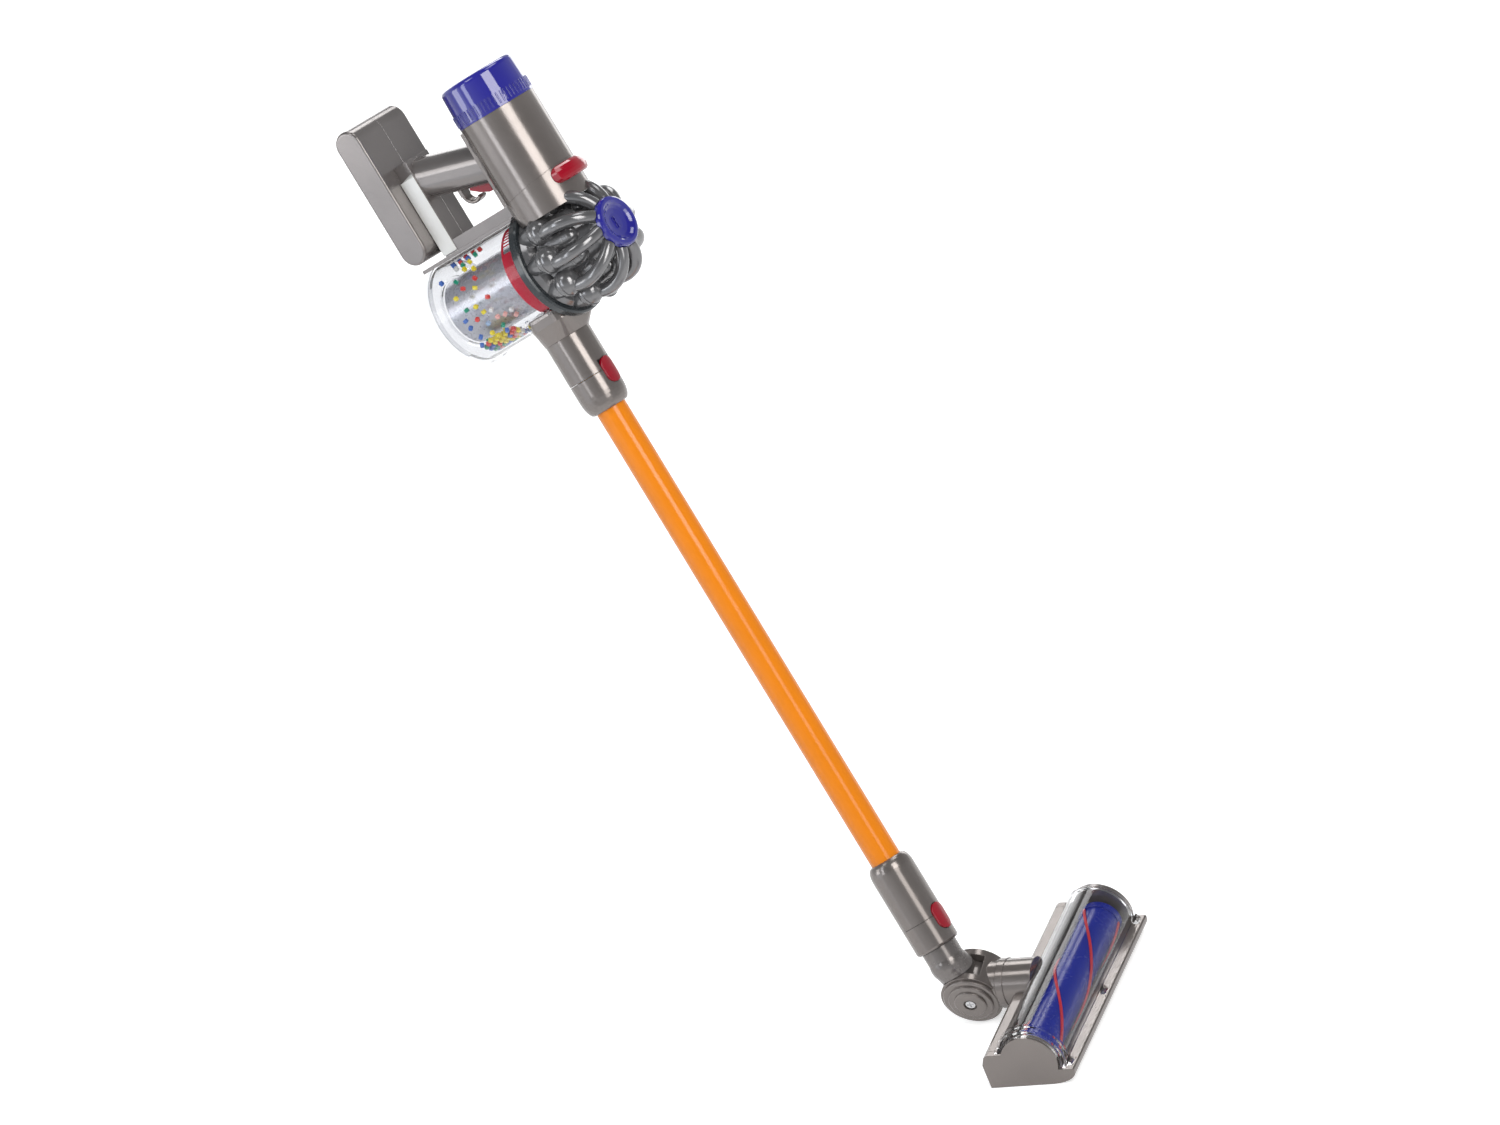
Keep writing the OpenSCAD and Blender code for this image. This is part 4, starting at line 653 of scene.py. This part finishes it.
def is_slot(middle):
    """True for two of every three faces between the cuts, in the slotted part."""
    turn = math.degrees(math.atan2(middle.y, middle.x)) % 360
    number = int(turn / (360 / BAND_FACES))
    return SLOT_FROM < turn < SLOT_TO and abs(middle.z) < SLOT_INSIDE and number % 3 > 0


slots = select_parts(band, is_slot)
bpy.ops.mesh.delete(type="FACE")
select_parts(band, lambda middle: middle.z > BAND_RIM, "EDGE")
bpy.ops.mesh.extrude_region_move()
bpy.ops.transform.resize(value=(CORE_RADIUS / BAND_RADIUS, CORE_RADIUS / BAND_RADIUS, 1))
bpy.ops.mesh.select_all(action="SELECT")
bpy.ops.mesh.normals_make_consistent(inside=False)
bpy.ops.object.mode_set(mode="OBJECT")
apply_modifier(band, "SOLIDIFY", thickness=BAND_WALL, offset=-1)
apply_modifier(band, "BEVEL", width=BAND_EDGE, segments=1)
bpy.ops.object.shade_smooth_by_angle(angle=SMOOTH_ANGLE)
place_in_mesh(band, BIN_FRAME @ Matrix.Translation((0, 0, (BAND_START + BAND_END) / 2)))
finish_piece(band, "shroud_band", finish["band_crimson"])
print("faces taken out for the slots", slots, "faces left", len(band.data.polygons))

# %% [markdown]
# A pale strip lies along the near side of the strut, and it also covers the ends of the two screw
# channels. Its pale colour is painted highlight: a far lighter copy of the nickel grey, so the face
# looks brightly lit. It is a wedge: its rear edge stands out further than its front edge, so it faces
# past the battery box and mirrors the bright side of the room instead of the box. It could be a scaled
# cube, but that would mirror the dark box. So one edge of the cube is pulled out in edit mode, the
# upper end is sloped, and a Bevel modifier rounds the rims.

# %% Strip on the strut
STRIP_NEAR, STRIP_WALL, STRIP_LEAN, STRIP_SLOPE = -13.1 * MM, 0.5 * MM, 1.9 * MM, 2.5 * MM
STRIP_FRONT, STRIP_BACK, STRIP_FOOT, STRIP_TOP = 29.7 * MM, 40.4 * MM, 114.4 * MM, 171.0 * MM
STRIP_OUTSIDE, TOUCH = STRIP_NEAR - 0.4 * MM, 0.1 * MM
STRIP_ROUND = 0.3 * MM

bpy.ops.object.select_all(action="DESELECT")
bpy.ops.mesh.primitive_cube_add(
    size=1, scale=(STRIP_WALL, STRIP_BACK - STRIP_FRONT, STRIP_TOP - STRIP_FOOT),
    location=(STRIP_NEAR - STRIP_WALL / 2, (STRIP_FRONT + STRIP_BACK) / 2,
        (STRIP_FOOT + STRIP_TOP) / 2))
strip = bpy.context.object
strip.name = "strut_strip"
place_in_mesh(strip, Matrix())
bpy.ops.object.mode_set(mode="EDIT")
select_parts(strip, lambda middle: middle.x < STRIP_OUTSIDE and middle.y > STRIP_BACK - TOUCH,
    "EDGE")
bpy.ops.transform.translate(value=(-STRIP_LEAN, 0, 0))
select_parts(strip, lambda middle: middle.x < STRIP_OUTSIDE and middle.z > STRIP_TOP - TOUCH,
    "EDGE")
bpy.ops.transform.translate(value=(0, 0, -STRIP_SLOPE))
bpy.ops.object.mode_set(mode="OBJECT")
apply_modifier(strip, "BEVEL", width=STRIP_ROUND, segments=3)
bpy.ops.object.shade_smooth_by_angle(angle=SMOOTH_ANGLE)
place_in_mesh(strip, HAND_FRAME)
# The strip's pale nickel is painted highlight, lighter than the nickel grey around it.
strip.data.materials.append(finish["strip_painted_highlight_nickel"])
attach(strip, "handheld")
print("strip faces", len(strip.data.polygons))

# %% [markdown]
# Four coil springs push the latch, the trigger and the two buttons back. The imported coils have wire
# of few sides, and a rigid coil would poke through the piece that presses on it. A new coil could be
# spun from a circle, but a copy of the imported one is sure to fit its seat. Subdivision makes its
# wire round.

# %% Springs
COILS = [
    ("latch_coil", "latch_spring", "latch_slide", UP_WAND, 2.55 * MM),
    ("trigger_coil", "trigger_spring", "trigger_pull", -UP_WAND, 1.1 * MM),
    ("upper_button_coil", "upper_button_spring", "upper_press", -BACK, 1.05 * MM),
    ("lower_button_coil", "lower_button_spring", "lower_press", -BACK, 1.05 * MM)]
for name, node, joint, moving_end, travel in COILS:
    coil = merged_copy(name, node)
    apply_modifier(coil, "SUBSURF", levels=1, render_levels=1)
    bpy.ops.object.shade_smooth()
    finish_piece(coil, node, finish["steel"])
    corners = [vertex.co for vertex in coil.data.vertices]
    middle = sum(corners, Vector()) / len(corners)
    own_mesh(coil)

# %% [markdown]
# The toy stands on a plain pale floor, and all behind it is white, as in the picture. More light
# would make a grey floor white, but it would bleach the toy as well. So Light Path tells the rays
# apart: to the camera the floor and the world are white, clear pieces show that white too and
# glossy ones a part of it, and the light that the toy gathers stays as it is in a plain studio. The
# floor still shows the soft shadow under the head. What glossy surfaces see of the room grows
# darker from the horizon up and brighter towards the window's side: that gives the nickel its dark
# tops and bright sides.

# %% World
STUDIO_TINT, WHITE = (0.94, 0.97, 1.0, 1), (1, 1, 1, 1)
STUDIO_LIGHT = 0.36
HORIZON_TO_TOP, HORIZON_TO_TOP_LIGHT = (0.02, 0.7), (0.62, 0.12)
WINDOW_WAY, WINDOW_SPAN, WINDOW_LIGHT = (-0.8, 0.6, 0.0), (-0.8, 1.0), (0.7, 1.35)


def seen_share(tree, glossy_share=0.0):
    """1 for rays that look at the background, a part for reflections, 0 for gathered light."""
    path = add_node(tree, "ShaderNodeLightPath").outputs
    reflected = calculate(tree, "MULTIPLY", path["Is Glossy Ray"], glossy_share)
    looking = calculate(tree, "MAXIMUM", path["Is Camera Ray"], path["Is Transmission Ray"])
    return calculate(tree, "MAXIMUM", looking, reflected)


world = bpy.data.worlds.new("studio")
bpy.context.scene.world = world
world.use_nodes = True
sky = world.node_tree
lit = sky.nodes["Background"]
fill(sky, lit, {"Color": STUDIO_TINT, "Strength": STUDIO_LIGHT})
way = add_node(sky, "ShaderNodeTexCoord").outputs["Generated"]
height = add_node(sky, "ShaderNodeSeparateXYZ", {"Vector": way}).outputs["Z"]
ceiling = remap(sky, height, HORIZON_TO_TOP, HORIZON_TO_TOP_LIGHT, interpolation_type="SMOOTHSTEP")
window = add_node(sky, "ShaderNodeVectorMath", {0: way, 1: WINDOW_WAY}, operation="DOT_PRODUCT")
window_gain = remap(sky, window.outputs["Value"], WINDOW_SPAN, WINDOW_LIGHT)
room = add_node(sky, "ShaderNodeBackground", {"Color": STUDIO_TINT,
    "Strength": calculate(sky, "MULTIPLY", ceiling, window_gain)})
seen = add_node(sky, "ShaderNodeBackground", {"Color": WHITE, "Strength": 1.0})
glossy = add_node(sky, "ShaderNodeLightPath").outputs["Is Glossy Ray"]
unseen = mix_shaders(sky, glossy, lit.outputs["Background"], room.outputs["Background"])
backdrop = mix_shaders(sky, seen_share(sky), unseen, seen.outputs["Background"])
fill(sky, sky.nodes["World Output"], {"Surface": backdrop})
print("world", world.name)

# %% Floor
FLOOR_SIZE, FLOOR_GAP = 30, 0.0002
FLOOR_COLOUR, FLOOR_GLOW, FLOOR_IN_GLOSS = (0.8, 0.8, 0.8, 1), 0.6, 0.5

bpy.ops.object.select_all(action="DESELECT")
bpy.ops.mesh.primitive_plane_add(size=FLOOR_SIZE, location=(0, 0, FLOOR_Z - FLOOR_GAP))
floor = bpy.context.object
floor.name = "floor"
floor_material, floor_tree, floor_shader, _ = start_material("pale_floor")
fill(floor_tree, floor_shader, {"Base Color": FLOOR_COLOUR, "Roughness": 0.9})
floor_glow = add_node(floor_tree, "ShaderNodeEmission", {"Color": WHITE, "Strength": FLOOR_GLOW})
floor_seen = add_node(floor_tree, "ShaderNodeAddShader", {0: floor_shader.outputs["BSDF"],
    1: floor_glow.outputs["Emission"]})
floor_look = mix_shaders(floor_tree, seen_share(floor_tree, FLOOR_IN_GLOSS),
    floor_shader.outputs["BSDF"], floor_seen.outputs["Shader"])
fill(floor_tree, floor_tree.nodes["Material Output"], {"Surface": floor_look})
floor.data.materials.append(floor_material)
print("floor at", round(floor.location.z, 4))

# %% [markdown]
# Long soft boxes draw the bright streaks that show how round the barrel, the wand and the collars
# are. They could be moved about until the streaks fit, but it can be worked out. A round piece
# mirrors a lamp where its surface faces halfway between the lamp and the camera, so a lamp's
# direction follows from the place of its streak across the piece. The camera looks at
# the wand almost squarely, so how far a lamp is raised along the wand is where its streak lies on
# the toy. The front box whitens the right of the cap and the barrel, and the low one does it on the
# wand and the head. The side box makes the narrow pale streak on the left, and the wide, bluish one
# softens the left edges. The other boxes were placed for the bin, the right sides, the
# upper faces, the head and the back.

# %% Lamps
MIDDLE = (Vector(cad_box[0]) + Vector(cad_box[1])) / 2
ACROSS = UP_WAND.cross(CAMERA_BACK).normalized()
NEUTRAL, WARM, COOL, BLUISH = (1, 1, 1), (1.0, 0.98, 0.96), (0.9, 0.94, 1.0), (0.8, 0.89, 1.0)


def soft_box(name, towards, size, radiance, colour=NEUTRAL, raised=0.0, distance=1.8):
    """An area lamp aimed at the toy, with its long side along the wand."""
    data = bpy.data.lights.new(name, "AREA")
    data.shape = "RECTANGLE"
    data.size, data.size_y = size
    data.energy = radiance * math.pi * size[0] * size[1]
    data.color = colour
    lamp = bpy.data.objects.new(name, data)
    bpy.context.scene.collection.objects.link(lamp)
    out = towards.normalized()
    long_side = (UP_WAND - out * UP_WAND.dot(out)).normalized()
    lamp.matrix_world = frame_at(MIDDLE + out * distance + long_side * raised,
        long_side.cross(out), long_side, out)


def streak_direction(place_across):
    """Where a lamp stands whose streak shows at that share of a round piece's half width."""
    turn = 2 * math.asin(place_across)
    return CAMERA_BACK * math.cos(turn) + ACROSS * math.sin(turn)


soft_box("box_front", streak_direction(0.22), (0.82, 1.2), 5.4, WARM, raised=0.5)
soft_box("box_front_low", streak_direction(0.18), (0.66, 0.6), 2.6, WARM, raised=-0.42)
soft_box("box_side", streak_direction(-0.42), (0.36, 1.5), 3.4, COOL, raised=0.82)
soft_box("box_side_wide", streak_direction(-0.64), (1.0, 1.5), 0.58, BLUISH, distance=1.85)
soft_box("box_bin", Vector((-0.49, 0.84, 0.237)), (0.62, 0.7), 2.6)
soft_box("box_right", Vector((0.765, 0.28, 0.58)), (0.5, 0.8), 4.0)
soft_box("box_over", CAMERA_UP + 0.2 * CAMERA_BACK, (0.9, 0.5), 3.2, distance=1.9)
soft_box("box_low", Vector((0.765, 0.62, 0.12)), (0.7, 0.8), 1.7)
soft_box("box_top", Vector((-0.26, 0.39, 0.88)), (0.5, 0.5), 3.6)
soft_box("box_behind", 0.6 * CAMERA_RIGHT + 0.8 * CAMERA_UP - 1.8 * CAMERA_BACK, (1.2, 1.2), 2.0,
    distance=1.9)
print("lamps placed round", [round(c, 3) for c in MIDDLE], "across", [round(c, 3) for c in ACROSS])

# %% [markdown]
# The picture is shown plainly, without the curve of a film, so that a colour renders about as it
# was written.

# %% Colour management and the end
bpy.context.scene.view_settings.view_transform = "Standard"
